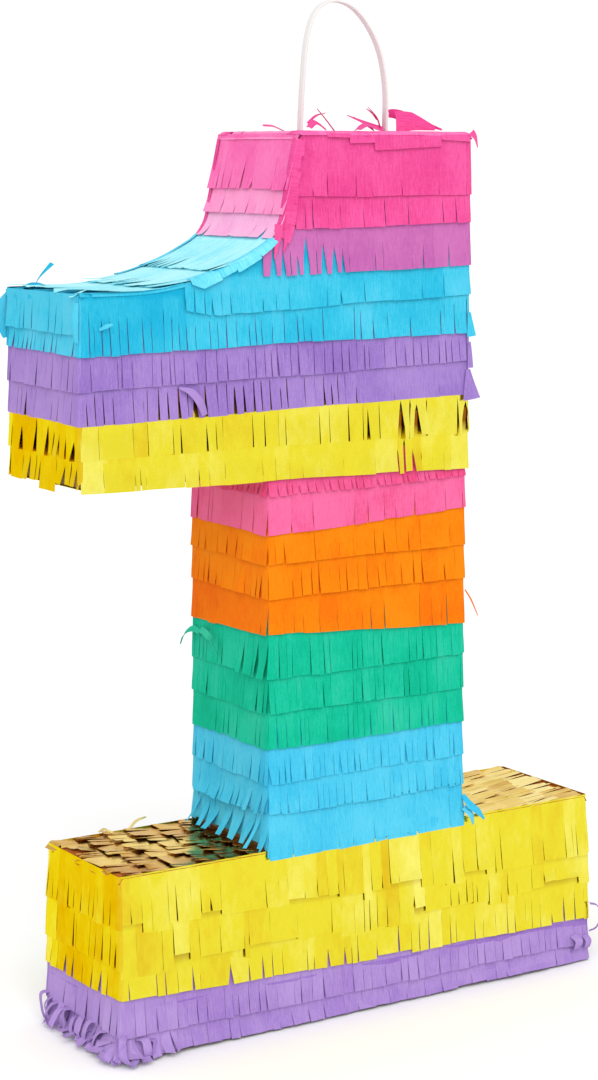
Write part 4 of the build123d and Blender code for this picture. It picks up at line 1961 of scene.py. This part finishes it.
@dataclass
class CurveFringe:
    """The strips down the curved left side of the head, and the folds along its edges."""

    dresser: Dresser
    plan: BoxPlan
    roof: Outline

    def build(self) -> None:
        """Builds the strips, whose fingers point down the slope."""
        roof = self.roof
        wide = 2.0 * self.plan.half
        slope = Slope(curve_outline(self.plan, 6.0), self.plan.half)
        flat = replace(PANELS, width=8.0, start=0.6, lift=0.4, vee=0.4)
        messy = replace(
            LOOSE, width=7.0, spread=2.0, wide_share=0.2, wide=12.0, start=0.4, gap=0.5, vee=1.9, lift=0.6,
            lean=2.0, twist=4.0, ragged=0.8, patch=0.16,
        )
        # The curve's papers are pink and cyan made paler where the faces tilt up: painted sheen.
        papers = (
            (
                "curve_fringe_pink_1", PINK_PAINTED_SLIGHT_SHEEN, Slot.PINK,
                replace(flat, start=0.5, width=5.0, wide_share=0.25, vee=0.6),
            ),
            ("curve_fringe_pink_2", PINK_PAINTED_HALF_SHEEN, Slot.PINK, replace(flat, start=0.4)),
            ("curve_fringe_pink_3", PINK_PAINTED_SHEEN, Slot.PINK, replace(flat, start=0.4)),
            ("curve_fringe_cyan_1", CYAN_PAINTED_SHEEN, Slot.CYAN, replace(LOOSE, start=0.6, lift=0.35, vee=0.3, lean=1.5)),
            ("curve_fringe_cyan_2", CYAN_PAINTED_SHEEN, Slot.CYAN, messy),
            ("curve_fringe_cyan_3", CYAN_PAINTED_SHEEN, Slot.CYAN, messy),
        )
        above = 0.0
        for number, (node, finish, slot, cut) in enumerate(papers):
            low = node_box(node)[0]
            below = roof.at_z(float(low[2])) if number < 3 else roof.at_x(float(low[0]))
            if number == len(papers) - 1:
                below = roof.length - 0.6
            top = above if number == 0 else above - 8.0
            strip = Strip(
                slope, -0.8, wide + 0.8, level(top), level(above), level(below), cut, seed=1000 + number,
                rest=(0.75, 1.4),
            )
            self.dresser.sheet(
                node + "_paper", [strip], finish, slot, (wide, below - top), None, node,
                rests_on="flag_curve_panel",
            )
            above = below
        self.backing(slope)
        self.pink_folds()
        self.blue_folds()

    def backing(self, slope: Slope) -> None:
        """Lays the smooth blue sheet that lies under the fringe, and turns it over the flag's end.

        Args:
            slope: The face it lies on.
        """
        start = self.roof.at_z(float(node_box("curve_fringe_pink_3")[0][2])) - 4.0
        end = self.roof.length + 3.0
        wide = 2.0 * self.plan.half
        under = Strip(
            slope, -0.75, wide + 0.75, level(start), level(start), level(end), WHOLE, rest=(0.35, 0.45),
            seed=1050, finger_rows=40, wave=0.05,
        )
        edge = self.roof.length
        rims = [
            self.fold(side, self.roof.at_x(-91.0), edge, (1.0, 1.0), 1060, WHOLE, (0.6, 0.75))
            for side in (-1.0, 1.0)
        ]
        self.dresser.sheet(
            "curve_fringe_backing", [under, *rims], CYAN, Slot.CYAN, (wide, end - start), None,
            rests_on="flag_curve_panel",
        )

    def pink_folds(self) -> None:
        """Folds the pink borders down over the front and back edges of the steep part."""
        end = self.roof.at_z(float(node_box("curve_fringe_pink_3")[0][2])) - 1.0
        crumpled = replace(WHOLE, ragged=0.7, lift=0.5, stagger=0.8, width=6.0, wide=7.0)
        borders = [self.fold(side, 2.5, end, (2.0, 4.6), 1070, crumpled) for side in (-1.0, 1.0)]
        front, flat = -self.plan.half - 1.2, ((1.0, 0.0, 0.0), (1.0, 0.0, 0.0))
        points = (
            Ribbon(
                ((-42.4, front, 377.0), (-43.4, front - 0.3, 370.0), (-45.0, front - 0.4, 361.6)), flat,
                (4.6, 3.2, 0.6), 0.6,
            ),
            Ribbon(
                ((-38.4, front, 377.0), (-38.6, front - 0.4, 371.0), (-40.2, front - 0.5, 364.6)), flat,
                (3.6, 2.6, 0.6), 0.4,
            ),
        )
        self.dresser.sheet(
            "curve_fringe_pink_fold", [*borders, *points], PINK, Slot.PINK, (2.0 * end, 10.0), None,
            rests_on="flag_curve_panel",
        )

    def blue_folds(self) -> None:
        """Folds the blue borders down over the edges of the gentle part."""
        start = self.roof.at_z(float(node_box("curve_fringe_pink_3")[0][2])) - 1.0
        end = self.roof.at_x(-88.0)
        rolled = replace(CLOSED, width=8.0, wide=16.0, start=0.75, gap=0.1, vee=0.3, ragged=0.5, stagger=0.7)
        borders = [self.fold(side, start, end, (2.4, 4.6), 1080, rolled, (1.5, 1.9)) for side in (-1.0, 1.0)]
        for border in borders:
            border.foot = lambda s: np.interp(s, (start, end - 14.0, end - 5.0, end), (2.0, 3.0, 3.8, 0.6))
        # The folds use cyan made somewhat paler: part painted sheen.
        self.dresser.sheet(
            "curve_fringe_cyan_fold", borders, CYAN_PAINTED_HALF_SHEEN, Slot.CYAN, (2.0 * (end - start), 10.0), None,
            rests_on="flag_curve_panel",
        )

    def fold(
        self,
        side: float,
        start: float,
        end: float,
        reach: tuple[float, float],
        seed: int,
        cut: Cut,
        rest: tuple[float, float] = (1.4, 1.3),
    ) -> Strip:
        """Gives a border that is folded down over the edge.

        Args:
            side: -1 for the front edge and 1 for the back one.
            start: Where the fold starts along the outline.
            end: Where it ends.
            reach: How far it comes down over the edge at its start and at its end.
            seed: The number that its chance values come from.
            cut: How it is cut.
            rest: The distance of its glued part and of its foot from the board.

        Returns:
            The border.
        """
        ridge = Ridge(self.roof, self.plan.half, side)
        foot = slanted(start, end, *reach)
        return Strip(
            ridge, start, end, level(-2.6), level(-2.0), foot, cut, rest=rest, wave=0.2,
            seed=seed + int(side),
        )


def tiles(outline: Outline, half: float, ends: Sequence[float], cut: Cut, seed: int) -> list[Strip]:
    """Gives strips laid like roof tiles along an outline.

    Args:
        outline: The line that the strips follow.
        half: The front and back edges, from the middle plane.
        ends: The first strip's upper edge, then each strip's lower edge, along the outline.
        cut: How they are cut.
        seed: The first strip's seed.

    Returns:
        The strips.
    """
    lay = Slope(outline, half)
    strips = []
    for number, (above, below) in enumerate(zip(ends, ends[1:])):
        top = above if number == 0 else above - 6.0
        strips.append(
            Strip(
                lay, -0.7, 2.0 * half + 0.7, level(top), level(above), level(below), cut, rest=(0.4, 1.0),
                seed=seed + number,
            )
        )
    return strips


def reach_of(strip: Strip) -> float:
    """Gives a level strip's height."""
    return float(strip.foot(np.zeros(1))[0] - strip.top(np.zeros(1))[0])


@dataclass
class HeadTop:
    """The pink paper over the head's top, made paler for a painted sheen, its folded edges, and the fingers
    that stand up from it.
    """

    dresser: Dresser
    plan: BoxPlan

    def outline(self) -> Outline:
        """Gives the line up the right side, over the top and down to the curve.

        Returns:
            The line.
        """
        plan = self.plan
        left = float(node_box("head_top_fringe")[0][0])
        low, high = plan.head_top - 6.0, plan.head_top
        points = [(plan.stem_right, low), (plan.stem_right, high), (left, high), (left - 1.2, low)]
        return Outline(points, (0.8, 0.8))

    def build(self) -> None:
        """Builds the sheets, the edges and the loose fingers."""
        plan = self.plan
        deep = 2.0 * plan.half
        outline = self.outline()
        calm = replace(PANELS, wide_share=0.7, start=0.6, lift=0.25, twist=2.0)
        ends = [3.6, 36.0, 68.0, outline.length - 3.4]
        # The top's tiles and edges use pink made paler: painted sheen on faces that tilt up.
        for number, strip in enumerate(tiles(outline, plan.half, ends, calm, 1300)):
            self.dresser.sheet(
                f"head_top_fringe_paper_{number + 1}", [strip], PINK_PAINTED_HALF_SHEEN, Slot.PINK, (deep, reach_of(strip)),
                None, "head_top_fringe" if number == 0 else None, rests_on="head_top_panel",
            )
        edges = [self.edge(outline, side) for side in (-1.0, 1.0)]
        self.dresser.sheet(
            "head_top_fringe_edges", edges, PINK_PAINTED_SLIGHT_SHEEN, Slot.PINK, (2.0 * (outline.length - 11.0), 10.0), None,
            rests_on="head_top_panel",
        )
        self.dresser.sheet(
            "head_top_fringe_fold", [*self.front_folds(outline), *self.loose()], PINK, Slot.PINK,
            (outline.length - 12.0, 10.0), None, rests_on="head_top_panel",
        )

    def edge(self, outline: Outline, side: float) -> Strip:
        """Gives the rolled edge of the top sheet."""
        cut = replace(CLOSED, wide=26.0, wide_share=0.9, start=0.8, gap=0.05, vee=0.1, ragged=0.15, lift=0.1)
        return Strip(
            Ridge(outline, self.plan.half, side), 5.5, outline.length - 5.5, level(-8.6), level(-3.0),
            level(0.7), cut, rest=(1.2, 1.1), wave=0.16, seed=1320 + int(side),
        )

    def front_folds(self, outline: Outline) -> list[Strip]:
        """Gives the stretches of the top sheet that are folded down over the front.

        Args:
            outline: The top sheet's line.

        Returns:
            The stretches.
        """
        start = self.plan.stem_right + 6.0
        cut = replace(WHOLE, ragged=0.1, lift=0.3)
        stretches = (
            (-4.0, 9.6, 4.4, 4.0), (9.4, 46.0, 7.6, 5.8), (45.8, 61.8, 2.6, 3.4), (-30.0, -4.2, 1.0, 1.8),
        )
        strips = []
        for number, (low, high, first, last) in enumerate(stretches):
            foot = slanted(start - high, start - low, last, first)
            strips.append(
                Strip(
                    Ridge(outline, self.plan.half), start - high, start - low, level(0.5), level(0.6), foot,
                    cut, rest=(1.0 + 0.12 * number, 1.2 + 0.12 * number), wave=0.08, seed=1340 + number,
                )
            )
        return strips

    def loose(self) -> Sequence[Ribbon]:
        """Gives the bent fingers and the leaf that stand up round the strap."""
        sight, low, steep = (0.54, 0.84, 0), (0, 0.84, 0.54), (0.1, 0.3, 0.95)
        return (
            Ribbon(((11, 0, 419.3), (6.2, 0, 424.6), (1.6, 0, 429.2)), (sight, sight), (3.4, 2.8, 1.8), 0.1),
            Ribbon(((5.6, 0.3, 427.4), (0.6, 0, 426), (-3.8, 0, 422.6)), (sight, low), (2.4, 2.2, 1.4)),
            Ribbon(((-5, -3, 420.4), (-1, -2, 423), (5.2, -1, 419.8)), (low, low), (3, 4.4, 3)),
            Ribbon(((-20, -5, 419), (-25, -4, 421), (-29.5, -2, 421.4)), (sight, low), (2.8, 2.8, 1.4), 0.9),
            Ribbon(((37.6, -2, 419.6), (29, -1, 422.4), (18, 0, 426.4)), (low, low), (6.4, 5, 0.8)),
            Ribbon(((36, 4, 419.6), (29, 3, 423), (23, 2, 425.6)), (low, low), (4.6, 3.6, 0.8), 0.2),
            Ribbon(
                ((37.6, 1, 419.6), (35, 0.5, 425.4), (29.6, 0, 430.4)), (sight, sight), (4.8, 3.8, 0.8),
                0.2,
            ),
            Ribbon(
                ((44.8, 0, 423.8), (51, -3, 423.6), (60, -10, 420.4)), (steep, (0, 0.4, 0.9)),
                (10.4, 9.6, 2), 0.45,
            ),
            Ribbon(((44.8, 6, 427.6), (50, 4, 426.8), (62.4, -12, 419.8)), (steep, steep), (4, 5, 0.8), 0.1),
            Ribbon(((37.2, 4, 425), (34, 3, 427.6), (30, 2, 429.6)), (low, low), (5, 3.6, 0.6), 0),
            Ribbon(((14, -14, 419.2), (20, -12, 421.6), (27, -11, 420)), ((0, 1, 0), low), (4, 5, 2.6), 0.7),
            Ribbon(
                ((62.2, -34.4, 418.6), (64, -35.2, 416), (65.2, -35.4, 411.4)), (steep, (0.8, 0.5, 0.2)),
                (4.2, 3.6, 0.6), 0.6,
            ),
        )


@dataclass
class FootTops:
    """The foil fringe on the two level tops of the foot, whose fingers point away from the stem."""

    dresser: Dresser
    plan: BoxPlan

    def build(self) -> None:
        """Builds both sides."""
        plan = self.plan
        # Painted reflection: the left top's foil is darker and the right top's lighter.
        left = replace(
            EVEN, width=4.4, spread=1.4, wide_share=0.12, start=0.05, vee=0.8, gap=0.2, lift=0.5, lean=4.0,
            twist=5.0, ragged=1.2, stagger=1.2, tint=-0.3, patch=0.22,
        )
        right = replace(left, tint=0.1, vee=0.5, ragged=1.0)
        self.side("left", plan.stem_left, plan.base_left, 6, left)
        self.side("right", plan.stem_right, plan.base_right, 5, right)

    def side(self, side: str, near: float, far: float, count: int, cut: Cut) -> None:
        """Builds the strips on one side of the stem.

        Args:
            side: The side's name.
            near: The stem's face.
            far: The foot's end.
            count: How many strips' edges there are.
            cut: How they are cut.
        """
        top = self.plan.base_top
        turn = 1.0 if far < near else -1.0
        outline = Outline([(near, top), (far, top), (far, top - 5.0)], (0.8,), turn)
        ends = [0.0, *np.linspace(13.0, abs(far - near) - 1.8, count)]
        node = f"base_top_fringe_{side}"
        wide = 2.0 * self.plan.half
        # A brown sheet under the foil tiles: painted shade seen through their gaps.
        backing = Strip(
            Slope(outline, self.plan.half), -0.6, wide + 0.6, level(0.0), level(0.0),
            level(abs(far - near) + 2.0), WHOLE, rest=(0.2, 0.25), wave=0.03, seed=1190, finger_rows=24,
        )
        self.dresser.sheet(
            f"{node}_backing", [backing], PAINTED_SHADE_UNDER_FOIL, Slot.GOLD, (wide, reach_of(backing)), None,
            rests_on=f"base_top_{side}_panel",
        )
        # The tiles use the gold foil recoloured for up-facing tops: painted reflection.
        for number, strip in enumerate(tiles(outline, self.plan.half, ends, cut, 1200 + 20 * len(side))):
            shapes = [strip, *self.loose(side)] if number == count - 2 else [strip]
            self.dresser.sheet(
                f"{node}_foil_{number + 1}", shapes, GOLD_PAINTED_FOR_TOPS, Slot.GOLD, (wide, reach_of(strip)), None,
                node if number == 0 else None, rests_on=f"base_top_{side}_panel",
            )

    def loose(self, side: str) -> Sequence[Ribbon]:
        """Gives the strands that stand up at the back edge.

        Args:
            side: The side's name.

        Returns:
            The strands.
        """
        flat, steep = (0.3, 0.9, 0.2), (0.5, 0.7, 0.5)
        if side == "left":
            return (
                Ribbon(
                    ((-84, 31, 87.6), (-79, 33, 90.4), (-73, 34, 91.4)), (flat, steep), (2, 1.8, 0.8),
                    0.9,
                ),
                Ribbon(
                    ((-93, 30, 87.4), (-97, 31, 89.4), (-100, 31, 88.6)), (flat, steep), (2.4, 2, 0.8),
                    0.8,
                ),
            )
        return (
            Ribbon(((92, 31, 89), (99, 33, 92.4), (105, 33, 91.6)), (flat, steep), (2.6, 2.2, 1), 0.9),
            Ribbon(((104, 30, 89), (108, 32, 93.4), (104, 33, 95)), (flat, steep), (2.4, 1.8, 0.8), 0.9),
        )


@dataclass
class FlagUnderside:
    """The smooth foil on the flag's underside."""

    dresser: Dresser
    plan: BoxPlan

    def build(self) -> None:
        """Builds the sheet."""
        plan = self.plan
        deep = 2.0 * plan.half
        outline = Outline([(plan.flag_left, plan.flag_bottom), (plan.stem_left, plan.flag_bottom)])
        under = Strip(
            Slope(outline, plan.half), 0.2, deep - 0.2, level(0.2), level(0.2), level(outline.length - 0.2),
            WHOLE, rest=(0.4, 0.4), wave=0.12, seed=1400, finger_rows=30,
        )
        self.dresser.sheet(
            "flag_underside_foil_sheet", [under], GOLD, Slot.GOLD, (deep, outline.length), None,
            "flag_underside_foil", rests_on="flag_underside_panel",
        )


@dataclass
class FillFlap:
    """The filling flap in the back, with its own rows of fringe."""

    dresser: Dresser
    plan: BoxPlan

    def build(self) -> None:
        """Builds the flap's rows, which swing with it."""
        plan = self.plan
        wall = Wall(plan.flag_left, plan.stem_right, plan.half)
        left, right, low, high = plan.window
        turn = wall.wide + wall.deep + wall.x_high
        start, end = turn - right, turn - left
        heights = [
            high,
            *(float(node_box(f"flap_fringe_{n}")[0][2]) for n in ("cyan_2", "purple_1", "purple_2")),
        ]
        papers = (
            ("flap_fringe_cyan_2", CYAN, Slot.CYAN, EVEN),
            ("flap_fringe_purple_1", PURPLE, Slot.PURPLE, EVEN),
            ("flap_fringe_purple_2", PURPLE, Slot.PURPLE, EVEN),
        )
        for number, (node, finish, slot, cut) in enumerate(papers):
            above, below = heights[number], heights[number + 1]
            top = above if number == 0 else above + 8.0
            strip = Strip(
                wall, start, end, level(-top), level(-above), level(-below),
                replace(cut, lean=0.5, ragged=0.1), seed=1500 + number,
            )
            self.dresser.sheet(
                node + "_paper", [strip], finish, slot, (end - start, top - below), None, node, "flap",
                "fill_flap",
            )


@dataclass
class HangingStrap:
    """The flat woven strap that comes up through the head's top and goes back into it.

    Attributes:
        dresser: Places the finished pieces.
        width: The strap's width in millimetres.
        thick: Its thickness.
        route: The control points of its line as X and Z, in metres, with a point inside each slot.
    """

    dresser: Dresser
    width: float = 4.0
    thick: float = 1.2
    route: Sequence[tuple[float, float]] = (
        (-0.0078, 0.4140),
        (-0.0077, 0.4215),
        (-0.0066, 0.4410),
        (-0.0046, 0.4620),
        (0.0005, 0.4755),
        (0.0110, 0.4800),
        (0.0240, 0.4760),
        (0.0365, 0.4600),
        (0.0410, 0.4399),
        (0.0406, 0.4215),
        (0.0405, 0.4140),
    )

    def centreline(self) -> Array:
        """Gives the points of the strap's own smooth line, in metres.

        Returns:
            The points, in order.
        """
        curve = bpy.data.curves.new("strap_route", "CURVE")
        curve.dimensions = "3D"
        spline = curve.splines.new("NURBS")
        spline.points.add(len(self.route) - 1)
        for point, (x, z) in zip(spline.points, self.route):
            point.co = (x, 0.0, z, 1.0)
        spline.order_u = 3
        spline.use_endpoint_u = True
        spline.resolution_u = 10
        holder = bpy.data.objects.new("strap_route", curve)
        bpy.context.scene.collection.objects.link(holder)
        bpy.context.view_layer.update()
        line = bpy.data.meshes.new_from_object(holder)
        points = np.array([vertex.co for vertex in line.vertices], float)
        bpy.data.objects.remove(holder)
        bpy.data.meshes.remove(line)
        return points

    def ribbon(self, name: str, line: Array) -> bpy.types.Object:
        """Sweeps the strap's rounded section along a line in the plane of X and Z.

        Args:
            name: The piece's name.
            line: The points of the line, in metres.

        Returns:
            The new object.
        """
        step = np.gradient(line, axis=0)
        step /= np.linalg.norm(step, axis=1)[:, None]
        out = np.stack([step[:, 2], np.zeros(len(line)), -step[:, 0]], axis=1)
        angle = np.linspace(0.0, 2.0 * math.pi, 20, endpoint=False) + math.pi / 20.0
        flat_side, round_edge = 0.35, 0.6
        wide = np.sign(np.cos(angle)) * np.abs(np.cos(angle)) ** flat_side * self.width / 2.0 * MM
        thick = np.sign(np.sin(angle)) * np.abs(np.sin(angle)) ** round_edge * self.thick / 2.0 * MM
        along = np.concatenate([[0.0], np.cumsum(np.linalg.norm(np.diff(line, axis=0), axis=1))]) / MM
        rings = line[:, None, :] + out[:, None, :] * thick[None, :, None]
        rings[..., 1] += wide[None, :]
        count = len(angle)
        faces = []
        for i in range(len(line) - 1):
            for j in range(count):
                a, b = i * count + j, i * count + (j + 1) % count
                faces.append((a, b, b + count, a + count))
        faces.append(tuple(reversed(range(count))))
        faces.append(tuple(range((len(line) - 1) * count, len(line) * count)))
        mesh = bpy.data.meshes.new(name)
        mesh.from_pydata(rings.reshape(-1, 3).tolist(), [], faces)
        grain = np.zeros((len(line), count, 3))
        grain[..., 0] = wide[None, :] / MM
        grain[..., 1] = along[:, None]
        PaperMesh.write(mesh, "grain", "FLOAT_VECTOR", "vector", grain)
        mesh.polygons.foreach_set("use_smooth", [True] * len(mesh.polygons))
        mesh.set_sharp_from_angle(angle=math.radians(60.0))
        mesh.materials.append(self.dresser.finishes.get(STRAP))
        piece = bpy.data.objects.new(name, mesh)
        bpy.context.scene.collection.objects.link(piece)
        return piece

    def build(self) -> None:
        """Builds the free loop."""
        line = self.centreline()
        loop = self.ribbon("hanging_loop_strap", line)
        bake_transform(loop)
        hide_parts("hanging_loop")
        length = float(np.sum(np.linalg.norm(np.diff(line, axis=0), axis=1)))
        LOG.info("hanging_loop_strap: %.1f mm of strap", length / MM)


# ---------------------------------------------------------------- CAD nodes that stay


@dataclass
class CardboardBox:
    """The panels, patch, flap and tapes, which keep their CAD shapes."""

    finishes: Finishes
    nodes: dict[str, bpy.types.Object]

    def dress(self) -> None:
        """Gives each panel and tape its finish."""
        for name, node in self.nodes.items():
            if name.endswith("_panel") or name in ("anchor_patch", "fill_flap"):
                self.paint(node, CARDBOARD)
            elif name.endswith("_tapes"):
                self.paint(node, KRAFT_TAPE)
            elif name == "strap_tails":
                self.paint(node, STRAP)

    def paint(self, node: bpy.types.Object, finish: Finish) -> None:
        """Puts a finish on a CAD node.

        Args:
            node: The node.
            finish: Its finish.
        """
        node.data.materials.clear()
        node.data.materials.append(self.finishes.get(finish))
        LOG.info("%s: %s", node.name, finish.name)


# ---------------------------------------------------------------- studio


@dataclass
class Studio:
    """A pale floor, soft light and the camera.

    Attributes:
        eye: The camera's place in metres.
        yaw: How far it is turned to the right of straight ahead, in radians.
        pitch: How far it looks down.
        lens: Its focal length in millimetres on a 36 mm sensor.
    """

    eye: Point = (-0.6419, -0.9769, 0.4064)
    yaw: float = 0.575416
    pitch: float = 0.153787
    lens: float = 82.1

    def build(self) -> None:
        """Builds the camera, the floor, the sky and the lights."""
        self.camera()
        self.floor()
        self.sky()
        self.sun()
        bpy.context.scene.view_settings.view_transform = "Standard"

    def camera(self) -> None:
        """Places the camera."""
        data = bpy.data.cameras.new("studio_camera")
        data.lens = self.lens
        data.sensor_width = 36.0
        data.sensor_fit = "AUTO"
        data.clip_start, data.clip_end = 0.05, 120.0
        camera = bpy.data.objects.new("studio_camera", data)
        camera.location = self.eye
        camera.rotation_euler = (math.pi / 2.0 - self.pitch, 0.0, -self.yaw)
        bpy.context.scene.collection.objects.link(camera)
        bpy.context.scene.camera = camera

    def floor(self) -> None:
        """Lays a large round pale floor."""
        angle = np.linspace(0.0, 2.0 * math.pi, 64, endpoint=False)
        ring = [(50.0 * math.cos(a), 50.0 * math.sin(a), 0.0) for a in angle]
        mesh = bpy.data.meshes.new("studio_floor")
        mesh.from_pydata(ring, [], [tuple(range(len(ring)))])
        sheet = NodeSheet("pale_floor")
        place = sheet.add("TexCoord").outputs["Object"]
        shade = sheet.noise(place, (1.5, 1.5, 1.5), 2.0)
        paint = sheet.add("BsdfPrincipled", {"Roughness": 0.9, "Specular IOR Level": 0.1})
        sheet.join(sheet.blend(shade, (0.93, 0.93, 0.93), (0.95, 0.95, 0.95)), paint.inputs["Base Color"])
        mesh.materials.append(sheet.close(paint.outputs["BSDF"]))
        floor = bpy.data.objects.new("studio_floor", mesh)
        bpy.context.scene.collection.objects.link(floor)

    def sky(self) -> None:
        """Lights the room evenly from the walls, and less from the ceiling."""
        world = bpy.data.worlds.new("studio_room")
        world.use_nodes = True
        tree = world.node_tree
        tree.nodes.clear()
        place = tree.nodes.new("ShaderNodeTexCoord")
        split = tree.nodes.new("ShaderNodeSeparateXYZ")
        ramp = tree.nodes.new("ShaderNodeMapRange")
        ramp.inputs["From Min"].default_value = 0.25
        ramp.inputs["From Max"].default_value = 0.95
        ramp.inputs["To Min"].default_value = 1.05
        ramp.inputs["To Max"].default_value = 0.75
        light = tree.nodes.new("ShaderNodeBackground")
        light.inputs["Color"].default_value = (1.0, 1.0, 1.0, 1.0)
        output = tree.nodes.new("ShaderNodeOutputWorld")
        tree.links.new(place.outputs["Generated"], split.inputs["Vector"])
        tree.links.new(split.outputs["Z"], ramp.inputs["Value"])
        tree.links.new(ramp.outputs["Result"], light.inputs["Strength"])
        tree.links.new(light.outputs["Background"], output.inputs["Surface"])
        bpy.context.scene.world = world

    def sun(self) -> None:
        """Hangs one very wide soft light above the front, a little to the left."""
        data = bpy.data.lights.new("soft_light", "SUN")
        data.energy = 1.6
        data.angle = math.radians(45.0)
        light = bpy.data.objects.new("soft_light", data)
        toward = Vector((-0.36, -0.68, 0.66))
        light.rotation_euler = toward.to_track_quat("Z", "Y").to_euler()
        bpy.context.scene.collection.objects.link(light)


def curve_outline(plan: BoxPlan, over: float = 0.0) -> Outline:
    """Gives the outline of the head's curved left side, from the head's corner down to the flag's end.

    Args:
        plan: The box's sizes.
        over: How far it goes on down the flag's end.

    Returns:
        The outline.
    """
    head_left = float(node_box("head_top_fringe")[0][0])
    flag_top = float(node_box("curve_fringe_cyan_3")[0][2]) + 2.5
    points = [(head_left, plan.head_top), (-40.2, 371.1), (-84.2, flag_top), (plan.flag_left, flag_top)]
    if over:
        return Outline([*points, (plan.flag_left, flag_top - over)], (21.5, 151.5, 0.8))
    return Outline(points, (21.5, 151.5))


def main() -> None:
    """Builds the pinata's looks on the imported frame."""
    logging.basicConfig(level=logging.INFO, format="%(name)s: %(message)s")
    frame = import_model()
    finishes = Finishes()
    plan = BoxPlan.read()
    head_coat = Coat((plan.flag_left, plan.stem_right), plan.half, (1.3, 2.8), (1.4, 0.0))
    stem_coat = Coat((plan.stem_left, plan.stem_right), plan.half, (2.0, 1.5), (1.1, 0.0))
    foot_coat = Coat(
        (plan.base_left, plan.base_right), plan.half, (3.0, 3.1), (3.1, 2.8), (55.0, 80.0), (0.8, 0.3)
    )
    head, stem, foot = (Dresser(finishes, coat) for coat in (head_coat, stem_coat, foot_coat))
    roof = curve_outline(plan)
    Studio().build()
    HangingStrap(head).build()
    CardboardBox(finishes, frame["nodes"]).dress()
    HeadFringe(head, plan, roof).build()
    StemFringe(stem, plan).build()
    FootFringe(foot, plan).build()
    CurveFringe(head, plan, roof).build()
    HeadTop(head, plan).build()
    FootTops(foot, plan).build()
    FlagUnderside(head, plan).build()
    FillFlap(head, plan).build()


if __name__ == "__main__":
    main()
